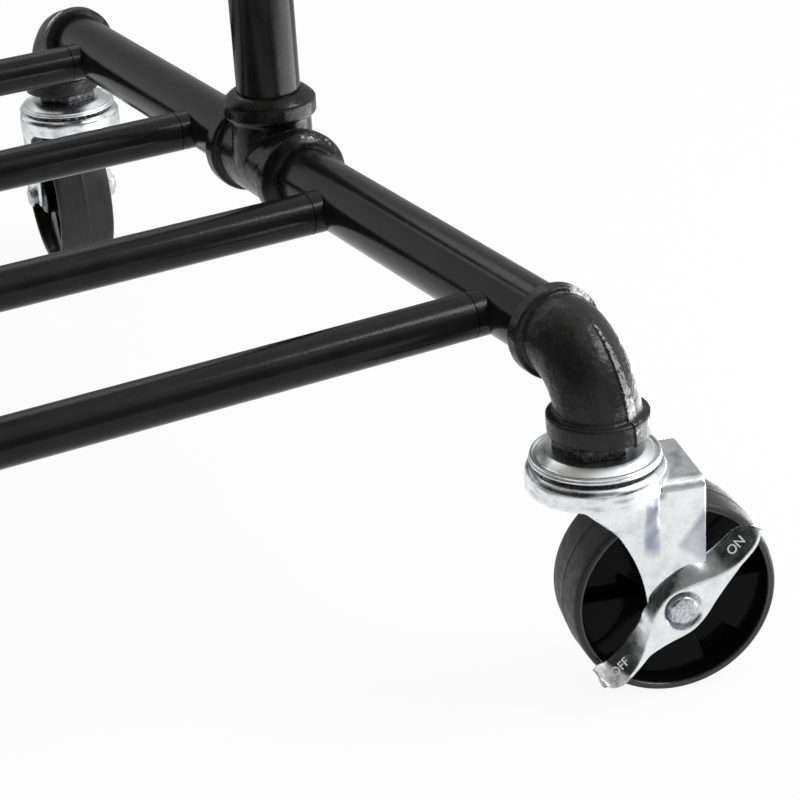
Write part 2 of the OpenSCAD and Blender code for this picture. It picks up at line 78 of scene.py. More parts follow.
PIPE_R = size("post_right").x / 2
END_X = middle("base_rail_right").x
RAIL_Z = middle("base_rail_right").z
TOP_Z = middle("top_end_rail_right").z
TEE_ARM = size("base_tee_right").y / 2
TEE_BEAD_R = size("base_tee_right").x / 2
ELBOW_BAND_R = size("base_elbow_a").x / 2
ELBOW_ARM = size("base_elbow_a").z - ELBOW_BAND_R
X = Vector((1, 0, 0))
Y = Vector((0, 1, 0))
Z = Vector((0, 0, 1))
print("Rail axis", round(RAIL_Z / MM, 1), "mm over the floor, pipe radius", round(PIPE_R / MM, 2))

# %% Places of the casters
CASTERS = "abcd"
BRAKED, PLAIN = "ab", "cd"
joints = {joint["name"]: joint for joint in frame["joints"]}
stems = {caster: Vector(joints["swivel_turn_" + caster]["pos_m"]) for caster in CASTERS}
axles = {caster: Vector(joints["wheel_roll_" + caster]["pos_m"]) for caster in CASTERS}
HEAD_Z = stems["a"].z
AXLE_Z = axles["a"].z
STEM_Y = stems["d"].y
TRAIL = (axles["a"] - stems["a"]).to_2d().length


def axle_frame(caster):
    """Local frame of a caster's axle: X along the trail, Y up, Z outwards on the bolt head's side."""
    out = Vector(joints["wheel_roll_" + caster]["axis"])
    turned_so = Matrix((Z.cross(out), Z, out)).transposed()
    return Matrix.Translation(axles[caster]) @ turned_so.to_4x4()


def stem_frame(caster):
    """Local frame of a caster's stem, on the floor: X along the trail, Z up."""
    out = Vector(joints["wheel_roll_" + caster]["axis"])
    turned_so = Matrix((Z.cross(out), -out, Z)).transposed()
    place = stems[caster].copy()
    place.z = 0
    return Matrix.Translation(place) @ turned_so.to_4x4()


print("Stems", round(STEM_Y / MM, 1), "mm out, trail", round(TRAIL / MM, 1), "mm")

# %% [markdown]
# ## How a finish is made
#
# A finish is a Principled shader whose colour, roughness and small bumps come from noise in the
# object's own space. Painted images would need unwrapped meshes and would repeat along a pipe;
# noise needs neither and stays sharp from near by. The first helpers add a node and fill its
# sockets, the others wrap what most finishes use.

# %% Node tools
def plug(owner, value, socket):
    """Link a socket into another one, or set it to a constant."""
    if isinstance(value, bpy.types.NodeSocket):
        owner.node_tree.links.new(value, socket)
    else:
        socket.default_value = value


def plug_all(owner, sockets, *values):
    for socket, value in zip(sockets, values):
        plug(owner, value, socket)


def node(owner, kind, settings=None, **inputs):
    """A new shader node in a material or a world."""
    made = owner.node_tree.nodes.new("ShaderNode" + kind)
    for name, value in (settings or {}).items():
        setattr(made, name, value)
    for name, value in inputs.items():
        plug(owner, value, made.inputs[name.replace("_", " ")])
    return made


def maths(owner, operation, *values):
    """A sum, a product or the like, of numbers that the shader works with."""
    made = node(owner, "Math", {"operation": operation})
    plug_all(owner, made.inputs, *values)
    return made.outputs[0]


def measured(owner, operation, place, other):
    """The distance or the dot product of a place and a constant vector."""
    made = node(owner, "VectorMath", {"operation": operation})
    plug_all(owner, made.inputs, place, other)
    return made.outputs["Value"]


def soft_step(owner, value, start, end, low=0.0, high=1.0):
    """Goes smoothly from low to high while the value goes from start to end."""
    return node(owner, "MapRange", {"interpolation_type": "SMOOTHSTEP"}, Value=value, From_Min=start,
                From_Max=end, To_Min=low, To_Max=high).outputs[0]


# %% Finish tools
def new_finish(name, colour, roughness, metallic=0.0, specular=0.5, ior=1.5):
    material = bpy.data.materials.new(name)
    material.use_nodes = True
    shader = material.node_tree.nodes["Principled BSDF"]
    shader.inputs["Base Color"].default_value = (*colour, 1)
    shader.inputs["Roughness"].default_value = roughness
    shader.inputs["Metallic"].default_value = metallic
    shader.inputs["Specular IOR Level"].default_value = specular
    shader.inputs["IOR"].default_value = ior
    return material, shader


def speckle(material, scale, detail=3.0, rough=0.5, stretch=(1, 1, 1)):
    """Noise in the object's own space. scale is in waves per metre."""
    space = node(material, "TexCoord").outputs["Object"]
    if stretch != (1, 1, 1):
        space = node(material, "Mapping", Vector=space, Scale=stretch).outputs["Vector"]
    return node(material, "TexNoise", Vector=space, Scale=scale, Detail=detail,
                Roughness=rough).outputs["Fac"]


def ramp(material, factor, *stops):
    """Colour ramp: stops are (position, colour or grey)."""
    made = node(material, "ValToRGB", Fac=factor)
    cells = made.color_ramp.elements
    while len(cells) < len(stops):
        cells.new(0.5)
    for cell, (at, colour) in zip(cells, stops):
        cell.position = at
        grey = isinstance(colour, (int, float))
        cell.color = (colour, colour, colour, 1) if grey else (*colour, 1)
    return made.outputs["Color"]


def mixed(material, share, first, second):
    """One colour going over into another; each is a socket or a constant colour."""
    made = node(material, "Mix", {"data_type": "RGBA"})
    plug(material, share, made.inputs[0])
    for socket, value in zip(made.inputs[6:8], (first, second)):
        plug(material, value if isinstance(value, bpy.types.NodeSocket) else (*value, 1), socket)
    return made.outputs[2]


# %% [markdown]
# Two things are left that most finishes need. A bump bends the light as small relief would. A mark
# is a number that the mesh stores at each point, so a finish can change where the shape says so.

# %% Relief and marks
def connect(material, shader, **sockets):
    for name, value in sockets.items():
        plug(material, value, shader.inputs[name.replace("_", " ")])


def bump(material, shader, height, strength, distance, below=None):
    """Small relief for the light only; below is a coarser bump that it lies on."""
    made = node(material, "Bump", Height=height, Strength=strength, Distance=distance * MM)
    if below is not None:
        plug(material, below, made.inputs["Normal"])
    plug(material, made.outputs["Normal"], shader.inputs["Normal"])
    return made.outputs["Normal"]


def marks_of(material, name="marked"):
    """How marked a point is, as its mesh says."""
    return node(material, "Attribute", {"attribute_name": name}).outputs["Fac"]


# %% [markdown]
# ## Powder-coated pipe
#
# Pipes, rods and straps are coated with black powder that is baked on: deep black, glossy, with a
# faint orange peel where the powder flowed. The solids have the right shape, so only the finish
# is new. The peel could be real displacement, but waves this small would need millions of faces;
# two bumps, a coarse one and a fine one on top of it, do the same to the light.

# %% Powder coat
def powder_coat():
    made, shader = new_finish("powder_coat", (0.01, 0.01, 0.01), 0.3, specular=0.45, ior=1.28)
    connect(made, shader, Base_Color=ramp(made, speckle(made, 60), (0.35, 0.007), (0.7, 0.012)),
            Roughness=ramp(made, speckle(made, 130), (0.3, 0.14), (0.75, 0.23)))
    peel = bump(made, shader, speckle(made, 700, 1), 0.12, 0.3)
    bump(made, shader, speckle(made, 2600, 1), 0.08, 0.1, peel)
    return made


def dress(material, *starts):
    """Give a finish to each carried-over solid whose name starts so."""
    chosen = [solid for name, solid in frame["nodes"].items() if name.startswith(starts)]
    for solid in chosen:
        for slot in solid.material_slots:
            slot.material = material
    print(material.name, "on", len(chosen), "solids")


dress(powder_coat(), "base_rail", "slat_", "post_", "top_end_rail", "top_side_rail", "top_rod",
      "top_stubs", "board_straps")

# %% [markdown]
# ## The board
#
# The board is a slab of glued oak staves, limed pale, that lies on the rods inside the upper ring.
# Each stave could be a mesh of its own, but they are glued and planed as one, so it is one slab
# and the shader tells the staves apart: it divides the width by a stave's, and every whole number
# reads the noise in another place, so that each stave has grain of its own.

# %% Limed oak
STAVE = 70 * MM


def limed_oak():
    """Pale staves side by side, each with grain of its own."""
    made, shader = new_finish("limed_oak", (0.6, 0.56, 0.49), 0.5)
    place = node(made, "SeparateXYZ", Vector=node(made, "TexCoord").outputs["Object"])
    stave = maths(made, "DIVIDE", place.outputs["Y"], STAVE)
    number = maths(made, "FLOOR", stave)
    drawn_out = maths(made, "MULTIPLY", place.outputs["X"], 0.06)
    own = node(made, "CombineXYZ", Y=place.outputs["Y"], Z=place.outputs["Z"],
               X=maths(made, "ADD", drawn_out, maths(made, "MULTIPLY", number, 3.7))).outputs[0]
    rings = node(made, "TexNoise", Vector=own, Scale=60, Detail=5, Roughness=0.6).outputs["Fac"]
    fibre = node(made, "TexNoise", Vector=own, Scale=900, Detail=3, Roughness=0.6).outputs["Fac"]
    tone = node(made, "TexWhiteNoise", {"noise_dimensions": "1D"}, W=number).outputs["Value"]
    grain = maths(made, "ADD", maths(made, "ADD", rings, maths(made, "MULTIPLY", fibre, 0.3)),
                  maths(made, "MULTIPLY", tone, 0.12))
    gap = maths(made, "ABSOLUTE", maths(made, "SUBTRACT", maths(made, "FRACT", stave), 0.5))
    seam = node(made, "MapRange", Value=gap, From_Min=0.488, From_Max=0.5).outputs[0]
    wood = ramp(made, grain, (0.5, (0.44, 0.39, 0.32)), (0.68, (0.58, 0.54, 0.47)),
                (0.92, (0.68, 0.65, 0.59)))
    connect(made, shader, Base_Color=mixed(made, seam, wood, (0.16, 0.13, 0.1)),
            Roughness=ramp(made, fibre, (0.3, 0.42), (0.7, 0.6)))
    bump(made, shader, maths(made, "SUBTRACT", fibre, seam), 0.25, 0.25)
    return made


WOOD = limed_oak()
print("Staves:", math.ceil(size("board").y / STAVE))

# %% [markdown]
# A shape is built as a bmesh, Blender's mesh for editing, and turned into a mesh at the end. The
# object stays at the origin: its place goes into the mesh, which is what lets the piece ride on a
# body of the frame without a second transform.

# %% From bmesh to piece
def moved(bm, *steps):
    """The same bmesh after some matrices, the first one first."""
    for step in steps:
        bmesh.ops.transform(bm, matrix=step, verts=bm.verts)
    return bm


def rounded(bm, edges, offset, segments):
    """Round some edges, by an offset in mm."""
    bmesh.ops.bevel(bm, geom=edges, offset=offset * MM, affect="EDGES", segments=segments,
                    profile=0.5, material=-1)


def rise_of(edge):
    return abs(edge.verts[0].co.z - edge.verts[1].co.z)


def to_mesh(bm, name, smooth=35):
    """Shaded smooth, with edges sharper than an angle left hard."""
    mesh = bpy.data.meshes.new(name)
    bm.to_mesh(mesh)
    bm.free()
    mesh.shade_smooth()
    mesh.set_sharp_from_angle(angle=math.radians(smooth))
    return mesh


def piece(name, mesh, body, slot, materials, *nodes, place=None):
    """A finished piece: its place goes into its mesh, and it rides on a body."""
    if place is not None:
        mesh = mesh.copy()
        mesh.transform(place)
    made = bpy.data.objects.new(name, mesh)
    bpy.context.collection.objects.link(made)
    for material in materials:
        mesh.materials.append(material)
    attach(made, body)
    if nodes:
        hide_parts(*nodes)
    return made


# %% The board
def board():
    """A cube stretched over the solid's box, with round corners and eased edges."""
    low, high = (Vector(end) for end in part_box("board"))
    bm = bmesh.new()
    bmesh.ops.create_cube(bm, size=1)
    moved(bm, Matrix.Diagonal((*(high - low), 1)), Matrix.Translation((low + high) / 2))
    rounded(bm, [edge for edge in bm.edges if rise_of(edge) > MM], 8, 10)
    rim = [edge for edge in bm.edges if rise_of(edge) < MM / 10 and len(edge.link_faces) == 2
           and abs(edge.link_faces[0].normal.dot(edge.link_faces[1].normal)) < 0.1]
    rounded(bm, rim, 1.6, 4)
    return bm


board_mesh = to_mesh(board(), "board")
piece("board_slab", board_mesh, "cart", "board_wood", [WOOD], "board")
print("Board:", len(board_mesh.polygons), "faces")

# %% [markdown]
# ## Cast fittings
#
# Tees and elbows are iron, cast in sand and painted black. The paint follows the sand's fine
# pebble, so it is rougher than the pipes and still throws small glints. The brightest glints are
# painted highlights: grains of pale metal colour. Those grains could be painted by hand; here
# each mesh stores how strongly a point glints, and the finish lets the tops of its own pebble
# show the metal colour there.

# %% Cast paint
def cast_paint(name, dark, pale, roughness, lump):
    """Black paint on a cast surface, with painted highlights: grains of metal colour where the mesh
    marks glints.
    """
    made, shader = new_finish(name, (dark, dark, dark), 0.3, specular=0.5, ior=1.3)
    glint_mark = marks_of(made)
    # Painted highlight: where the glint mark is high, grains of the pebble show a metal colour, paler
    # past 1.
    grain = maths(made, "ADD", maths(made, "MULTIPLY", glint_mark, 0.42), speckle(made, 800, 3, 0.6))
    metal_share = soft_step(made, grain, 0.74, 0.86)
    paint = ramp(made, speckle(made, 90), (0.35, dark), (0.7, pale))
    bright = maths(made, "SUBTRACT", glint_mark, 1.0)
    metal = mixed(made, bright, (0.25, 0.25, 0.255), (0.85, 0.85, 0.86))
    connect(made, shader, Base_Color=mixed(made, metal_share, paint, metal),
            Metallic=maths(made, "MULTIPLY", metal_share, 0.4),
            Roughness=ramp(made, speckle(made, 500), (0.35, roughness[0]), (0.65, roughness[1])))
    lumps = bump(made, shader, speckle(made, 300, 2), lump, 0.8)
    bump(made, shader, speckle(made, 1100, 2), 0.75 * lump, 0.3, lumps)
    return made


ELBOW_BLACK = cast_paint("rough_cast_paint", 0.013, 0.021, (0.18, 0.38), 0.5)
# Painted shade: the tee's colour is darker than the elbows' black, for less light falls on the tee.
TEE_BLACK = cast_paint("smooth_cast_paint", 0.004, 0.008, (0.16, 0.34), 0.25)
print("Cast paints:", ELBOW_BLACK.name, "and", TEE_BLACK.name)

# %% [markdown]
# Round forms are turned, as on a lathe: an outline in millimetres is spun about an axis. A
# primitive cylinder per step would leave hidden faces between them, while a spun outline is one
# clean surface with every bead and groove in it.

# %% Turned solids
def arc(centre, radius, start, end, steps=8):
    """Points of an arc in a plane, angles in degrees."""
    angles = [math.radians(start + (end - start) * i / steps) for i in range(steps + 1)]
    return [(centre[0] + radius * math.cos(a), centre[1] + radius * math.sin(a)) for a in angles]


def tidied(bm):
    """Meeting points made one, and the faces turned outwards."""
    bmesh.ops.remove_doubles(bm, verts=bm.verts, dist=MM / 1000)
    bmesh.ops.recalc_face_normals(bm, faces=bm.faces)
    return bm


def turned(outline, closed=False, steps=72):
    """Solid of revolution about Z, from (radius, height) points in mm."""
    bm = bmesh.new()
    verts = [bm.verts.new((r * MM, 0, z * MM)) for r, z in outline]
    edges = [bm.edges.new(pair) for pair in zip(verts, verts[1:])]
    if closed:
        edges.append(bm.edges.new((verts[-1], verts[0])))
    bmesh.ops.spin(bm, geom=verts + edges, cent=(0, 0, 0), axis=Z, dvec=(0, 0, 0),
                   angle=math.radians(360), steps=steps, use_merge=True)
    return tidied(bm)


def turn(axis, degrees):
    return Matrix.Rotation(math.radians(degrees), 4, axis)


def shift(x=0, y=0, z=0):
    return Matrix.Translation(Vector((x, y, z)) * MM)


# %% [markdown]
# A casting has no sharp inner corners, because sand cannot hold them. Bevels between crossing
# cylinders are hard to get; it is simpler to overlap the solids, melt them into one skin with a
# voxel remesh, and smooth it a little. Bores are cut after that, so that their edges stay crisp.

# %% Working with modifiers
def joined(*parts):
    """One bmesh that holds all the parts."""
    whole = bmesh.new()
    for part in parts:
        mesh = bpy.data.meshes.new("part")
        part.to_mesh(mesh)
        part.free()
        whole.from_mesh(mesh)
        bpy.data.meshes.remove(mesh)
    return whole


def held(shape):
    """A temporary object round a bmesh or a curve, for Blender to work on."""
    if isinstance(shape, bmesh.types.BMesh):
        mesh = bpy.data.meshes.new("held")
        shape.to_mesh(mesh)
        shape.free()
        shape = mesh
    holder = bpy.data.objects.new("held", shape)
    bpy.context.collection.objects.link(holder)
    return holder


def worked_out(holder):
    """What a temporary object comes to, as a bmesh. The object is gone after that."""
    done = holder.evaluated_get(bpy.context.evaluated_depsgraph_get())
    result = bmesh.new()
    result.from_mesh(done.to_mesh())
    bpy.data.objects.remove(holder)
    return result


def after_modifiers(bm, settings):
    """The bmesh after a stack of modifiers: (type, {setting: value}) pairs."""
    holder = held(bm)
    for kind, values in settings:
        modifier = holder.modifiers.new(kind.lower(), kind)
        for name, value in values.items():
            setattr(modifier, name, value)
    return worked_out(holder)


# %% Melting and cutting
def melted(bm, voxel=0.6, smooth=6):
    """One skin round overlapping solids, with softened corners."""
    return after_modifiers(bm, [
        ("REMESH", {"mode": "VOXEL", "voxel_size": voxel * MM, "use_smooth_shade": True}),
        ("SMOOTH", {"factor": 0.5, "iterations": smooth}),
    ])


def combined(bm, tool, operation):
    """The bmesh after a boolean with another one."""
    other = held(tool)
    result = after_modifiers(bm, [("BOOLEAN", {"operation": operation, "object": other})])
    bpy.data.objects.remove(other)
    return result


def cut(bm, *tools):
    return combined(bm, joined(*tools), "DIFFERENCE")


# %% Surface of a casting
def lumpy(bm, height=0.1, wave=7.0):
    """Shallow swellings that a sand mould leaves."""
    bm.normal_update()
    for vert in bm.verts:
        vert.co += vert.normal * noise.noise(vert.co / (wave * MM)) * height * MM
    return bm


def socket(reach, radius=PIPE_R + 0.12 * MM, depth=11):
    """The bore that a pipe is screwed into, from the end of an arm inwards."""
    r, start, end = radius / MM, reach / MM - depth, reach / MM + 4
    return turned([(0, start), (r, start), (r, end), (0, end)], steps=64)


def clamp(value, low=0, high=1):
    return min(max(value, low), high)


def mark(mesh, amount, name="marked"):
    """Store how marked each point is: 0 is untouched, 1 is marked, and some finishes go on past 1."""
    marks = mesh.attributes.new(name, "FLOAT", "POINT")
    marks.data.foreach_set("value", [amount(vert.co / MM) for vert in mesh.vertices])


# %% [markdown]
# ## The tee
#
# A tee joins the two pipes of an end rail with the post. Its three arms are the same turned
# outline, a plain barrel with a thick rounded bead at its mouth, so one function makes them all
# and the remesh melts the three into one body.

# %% The tee
BARREL_R = 16.9


def tee_arm():
    r, end, pipe = TEE_BEAD_R / MM, TEE_ARM / MM, PIPE_R / MM
    outline = [(0, 0), (BARREL_R, 0), (BARREL_R, end - 11.4), (17.4, end - 11), (r - 0.9, end - 10.6)]
    outline += arc((r - 0.9, end - 9.7), 0.9, -60, 0, 3)
    outline += arc((r - 0.9, end - 4.1), 0.9, 0, 50, 4)
    outline += [(r - 2.2, end - 1.6), (r - 3.6, end - 0.5), (pipe + 0.9, end), (0, end)]
    return turned(outline, steps=64)


def painted_bead_sparkle(at):
    """Painted highlight: sparkling grains on the lit top of the beads at the ends of the run."""
    turned_by = math.degrees(math.atan2(at.x, at.z))
    near_end = max(0, 1 - abs(abs(at.y) - TEE_ARM / MM + 2.2) / 2.4)
    return 0.62 * near_end * clamp(1.6 - abs(turned_by - 25) / 30)


sides = (-90, 0, 90)
tee = lumpy(melted(joined(*(moved(tee_arm(), turn(X, a)) for a in sides))))
tee = cut(tee, *(moved(socket(TEE_ARM), turn(X, a)) for a in sides))
tee_mesh = to_mesh(tee, "tee", 50)
mark(tee_mesh, painted_bead_sparkle)
for side, x in (("left", -END_X), ("right", END_X)):
    base = Matrix.Translation((x, 0, RAIL_Z))
    piece("tee_base_" + side, tee_mesh, "cart", "cast_fitting", [TEE_BLACK], "base_tee_" + side,
          place=base)
    top = Matrix.Translation((x, 0, TOP_Z)) @ turn(X, 180)
    piece("tee_top_" + side, tee_mesh, "cart", "cast_fitting", [TEE_BLACK], "top_tee_" + side,
          place=top)
print("Tee:", len(tee_mesh.polygons), "faces")

# %% [markdown]
# ## The elbow
#
# An elbow ends each rail and turns it down to a caster, or round the corner of the upper ring. It
# is a disc swept through a quarter turn, with a turned band at each mouth. The two halves of its
# mould never met exactly: they left a seam over the back of the bend, proud on one side. A strip
# laid on top would look stuck on, so the skin itself is pushed out past the seam, and fades.

# %% The bend and its bands
BAND = 6.5         # length of the band on the rail, in mm
ELBOW_BEND_R = ELBOW_ARM / MM - BAND
SEAM_TURN = 9      # degrees that the mould's seam lies off the elbow's middle plane
DROP = 2           # the arm over the caster is this much longer than the one on the rail
SAG = 0.9          # the rail enters this much over the middle of its socket
LEAN = 2           # and the caster's arm leans this much to the side


def bend(radius, bend_r):
    """A disc swept through a quarter turn, from the -Y arm to the -Z arm."""
    bm = bmesh.new()
    bmesh.ops.create_circle(bm, cap_ends=True, segments=72, radius=radius * MM)
    moved(bm, turn(X, 90), shift(y=-bend_r))
    cap = bm.faces[:]
    bmesh.ops.duplicate(bm, geom=bm.verts[:] + bm.edges[:] + cap)
    edges = list({e for f in cap for e in f.edges})
    verts = list({v for f in cap for v in f.verts})
    bmesh.ops.spin(bm, geom=cap + edges + verts, cent=(0, -bend_r * MM, -bend_r * MM), axis=X,
                   dvec=(0, 0, 0), angle=-math.pi / 2, steps=24)
    return tidied(bm)


def elbow_band(r, start, end):
    pipe = PIPE_R / MM
    outline = [(0, start - 3), (15, start - 3), (15.4, start - 0.2), (r - 0.5, start)]
    outline += arc((r - 0.8, start + 0.8), 0.8, -60, 0, 3)
    outline += arc((r - 0.8, end - 0.8), 0.8, 0, 80, 4)
    outline += [(pipe + 0.3, end), (0, end)]
    return turned(outline)


print("Elbow's bend:", round(ELBOW_BEND_R, 1), "mm")


# %% The mould's seam
def place_on_elbow(at):
    """Degrees past the seam, degrees round the bend, and the distance from the elbow's centre line."""
    y, z = at.y + ELBOW_BEND_R, at.z + ELBOW_BEND_R
    if y > 0 and z > 0:
        out, way = math.hypot(y, z) - ELBOW_BEND_R, math.degrees(math.atan2(y, z))
    else:
        out, way = (at.y, 90) if z <= 0 else (at.z, 0)
    return math.degrees(math.atan2(-at.x, out)) - SEAM_TURN, way, math.hypot(at.x, out)


def flash(bm, height=0.8, fade=16):
    """The step left where the mould's halves met: sheer on one side, fading on the other."""
    bm.normal_update()
    for vert in bm.verts:
        past, way, out = place_on_elbow(vert.co / MM)
        if past > 0 and out > 12:
            vert.co += vert.normal * height * math.exp(-past / fade) * clamp((way - 20) / 30) * MM
    return bm


def painted_elbow_glint(at):
    """Painted highlight: glinting grains along the proud side of the seam, and on top of the rail's
    band.
    """
    upright = at.copy()
    upright.x -= LEAN * min(at.z / ELBOW_ARM * MM, 0)
    past, way, out = place_on_elbow(upright)
    down = clamp((way - 32) / 50)
    widest = 7 + 13 * down
    on_seam = (past > -0.5) * clamp((widest - past) / 6, 0, 0.8 + 0.1 * down) * (down > 0)
    if at.z < -ELBOW_ARM / MM + 7:
        on_seam *= 0.5 * (at.z > -ELBOW_ARM / MM)
    on_band = clamp(1.9 - abs(past - 30) / 14) * (abs(at.y + ELBOW_ARM / MM - 5.2) < 2.1)
    return max(on_seam, on_band * (1.5 + 1.2 * noise.noise(at / 0.9)))


# %% The elbow
def elbow():
    band_r, arm = ELBOW_BAND_R / MM, ELBOW_ARM / MM
    on_rail = moved(elbow_band(band_r - 0.8, arm - BAND, arm), turn(X, 90), shift(z=-SAG))
    over_caster = moved(elbow_band(band_r, arm - 6.2, arm + DROP), turn(X, 180))
    corner_bend = moved(bend(15.25, ELBOW_BEND_R), shift(z=-SAG))
    skin = melted(joined(corner_bend, on_rail, over_caster), 0.55, 4)
    skin = cut(flash(lumpy(skin)), moved(socket(ELBOW_ARM, depth=9), turn(X, 90)),
               moved(socket(ELBOW_ARM + DROP * MM, depth=11), turn(X, 180)))
    for vert in skin.verts:
        vert.co.x += LEAN * MM * min(vert.co.z / ELBOW_ARM, 0)
    return skin


elbow_mesh = to_mesh(elbow(), "elbow", 50)
mark(elbow_mesh, painted_elbow_glint)


def turned_down(caster):
    x, y = stems[caster].xy
    return Matrix.Translation((x, y, RAIL_Z)) @ turn(Z, 0 if y > 0 else 180)


def laid_flat(caster):
    quarters = dict(zip(CASTERS, (270, 180, 0, 90)))
    place = Matrix.Translation((*stems[caster].xy, TOP_Z))
    return place @ turn(Z, quarters[caster]) @ turn(Y, 90)


for caster in CASTERS:
    for tier, place in (("base", turned_down), ("top", laid_flat)):
        piece("elbow_" + tier + "_" + caster, elbow_mesh, "cart", "cast_fitting", [ELBOW_BLACK],
              tier + "_elbow_" + caster, place=place(caster))
print("Elbow:", len(elbow_mesh.polygons), "faces")

# %% [markdown]
# ## Zinc and black steel
#
# Forks, raceways, levers and bolts are steel with a bright zinc plating, slightly cloudy in
# colour and in gloss. Where the mesh marks it, shade and dark reflections are painted on: the
# metal goes darker and bluish, and past 1 nearly black. Where something scraped it, it is pale
# and matt. Separate finishes for those patches would end in hard edges. One finish reads two
# marks from the mesh instead, and goes over softly from one to the other.

# %% Zinc
def zinc_plate(name="zinc_plate", roughness=(0.16, 0.34), colour=(0.86, 0.87, 0.88)):
    """Bright cloudy metal with painted shade: bluish where marked, black past 1; pale and matt where
    scuffed.
    """
    made, shader = new_finish(name, colour, 0.25, metallic=1.0)
    dark = tuple(0.8 * c for c in colour)
    cloudy = ramp(made, speckle(made, 160, 8, 0.75), (0.34, dark), (0.6, colour))
    # Painted shade and painted dark reflections: where the mesh marks them the metal goes darker and
    # bluish, and black past 1.
    painted_dark = marks_of(made)
    painted_dark_colour = mixed(made, painted_dark, cloudy, (0.30, 0.33, 0.39))
    painted_dark_colour = mixed(made, maths(made, "SUBTRACT", painted_dark, 1.0), painted_dark_colour, (0.03, 0.03, 0.035))
    scuff = marks_of(made, "scuffed")
    scratches = ramp(made, speckle(made, 260, 4, 0.7, (1, 1, 0.3)), (0.38, 0.25), (0.62, 0.7))
    gloss = ramp(made, speckle(made, 300, 4), (0.3, roughness[0]), (0.7, roughness[1]))
    metal_share = maths(made, "SUBTRACT", 1.0, maths(made, "MULTIPLY", scuff, 0.85))
    connect(made, shader, Base_Color=mixed(made, scuff, painted_dark_colour, scratches), Metallic=metal_share,
            Roughness=gloss)
    wave = bump(made, shader, speckle(made, 70, 2), 0.14, 0.5)
    bump(made, shader, speckle(made, 2200, 2), 0.15, 0.12, wave)
    return made


ZINC = zinc_plate()
RACE_ZINC = zinc_plate("race_zinc", (0.26, 0.32))
HARDWARE = zinc_plate("zinc_hardware", (0.22, 0.45), (0.7, 0.71, 0.72))
dress(HARDWARE, "caster_stems", "race_balls", "axle_sleeve", "board_screws")


# %% Black steel
def dark_bush():
    made, shader = new_finish("dark_bush", (0.02, 0.02, 0.021), 0.38, metallic=0.6)
    worn = ((0.45, (0.01, 0.01, 0.011)), (0.75, (0.1, 0.1, 0.11)))
    connect(made, shader, Base_Color=ramp(made, speckle(made, 500, 4, 0.7), *worn),
            Roughness=ramp(made, speckle(made, 700), (0.3, 0.12), (0.7, 0.32)))
    bump(made, shader, speckle(made, 1200, 3), 0.3, 0.3)
    return made


BUSH = dark_bush()
print("Finish:", BUSH.name)

# %% [markdown]
# ## Raceways
#
# A caster hangs from the elbow by a stem. Round the stem lies the raceway, a plate pressed to a
# dish, whose rim is rolled over and grooved. It is round about the stem all the way, so it is
# turned; the outline is closed, because the plate is open underneath for the balls.

# %% The raceways
race_low, race_high = (corner[2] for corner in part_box("raceways"))


def race_outline(top):
    outline = [(6.4, top - 1.8), (6.4, top), (17.2, top), (18, top - 0.15)]
    outline += [(20.5, top - 2.2), (21, top - 2.5), (21.5, top - 2.55), (21.8, top - 2.2)]
    outline += [(22.1, top - 1.9)] + arc((22.5, top - 2.3), 0.4, 80, 0, 3)
    outline += [(22.9, top - 2.7), (22.5, top - 2.85), (22.5, top - 3.05), (22.9, top - 3.15)]
    outline += arc((22.9, top - 3.45), 0.3, 80, 0, 3) + [(23.2, 0.2), (23, 0)]
    return outline + [(20.5, 0), (17, top - 1.8)]


races = joined(*(
    moved(turned(race_outline((race_high - race_low) / MM), closed=True, steps=128),
          Matrix.Translation((stems[c].x, stems[c].y, race_low)))
    for c in CASTERS))
race_mesh = to_mesh(races, "race_plates", 30)
piece("race_plates", race_mesh, "cart", "zinc_sheet", [RACE_ZINC], "raceways")
print("Raceways:", len(race_mesh.polygons), "faces")

# %% [markdown]
# ## Bushes
#
# A black bush fills the elbow's mouth and holds the stem. Its lower end is a hexagon for a
# wrench, mostly hidden by the elbow's band. A cone with six sides and equal radii is a hexagonal
# prism already, and it only needs its edges rounded.

# %% The bushes
HEX_ACROSS = 27      # over the flats
bush_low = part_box("stem_bushes")[0][2]


def hexagon(across, height):
    """Six-sided prism round the origin, sized over its flats."""
    bm = bmesh.new()
    r = across / math.sqrt(3) * MM
    bmesh.ops.create_cone(bm, cap_ends=True, segments=6, depth=height * MM, radius1=r, radius2=r)
    return bm


def bush():
    height = RAIL_Z / MM - ELBOW_ARM / MM - DROP - bush_low / MM
    grip = moved(hexagon(HEX_ACROSS, height), shift(z=height / 2))
    rounded(grip, grip.edges[:], 0.7, 3)
    return joined(grip, turned([(0, 0.5), (12.6, 0.5), (12.6, height + 6), (0, height + 6)]))


bushes = joined(*(
    moved(bush(), turn(Z, 12 if c in "ad" else 40),
          Matrix.Translation((stems[c].x, stems[c].y, bush_low)))
    for c in CASTERS))
bush_mesh = to_mesh(bushes, "bushes", 30)
piece("bushes", bush_mesh, "cart", "black_bush", [BUSH], "stem_bushes")
print("Bushes:", len(bush_mesh.polygons), "faces")

# %% [markdown]
# ## The fork
#
# The fork is one pressed sheet: a round cup over the balls, a flat plate behind it that folds
# down into two legs, a web where the cup's skirt is drawn down into each leg, and a long flute
# that stiffens the leg. Pushing one flat mesh into all of that would take endless care. Here each
# form is its own simple solid, and the remesh melts them into one sheet, as the press did. First
# the legs: a folded channel, cut to the outline of a leg seen from the side.

# %% The fork's legs
HEAD_R, SHEET, SKIRT, FOLD = 25, 2.5, 8.6, 4
LEG_HALF = 18.4                        # the legs' outer faces, from the middle
LEAD, LEAD_R = (-71.2, -3.3), 59.5     # centre, from the axle, and radius of the leading edges
trail = TRAIL / MM
axle_z = AXLE_Z / MM
rise = (HEAD_Z - AXLE_Z) / MM
plate_top = rise - 4.2


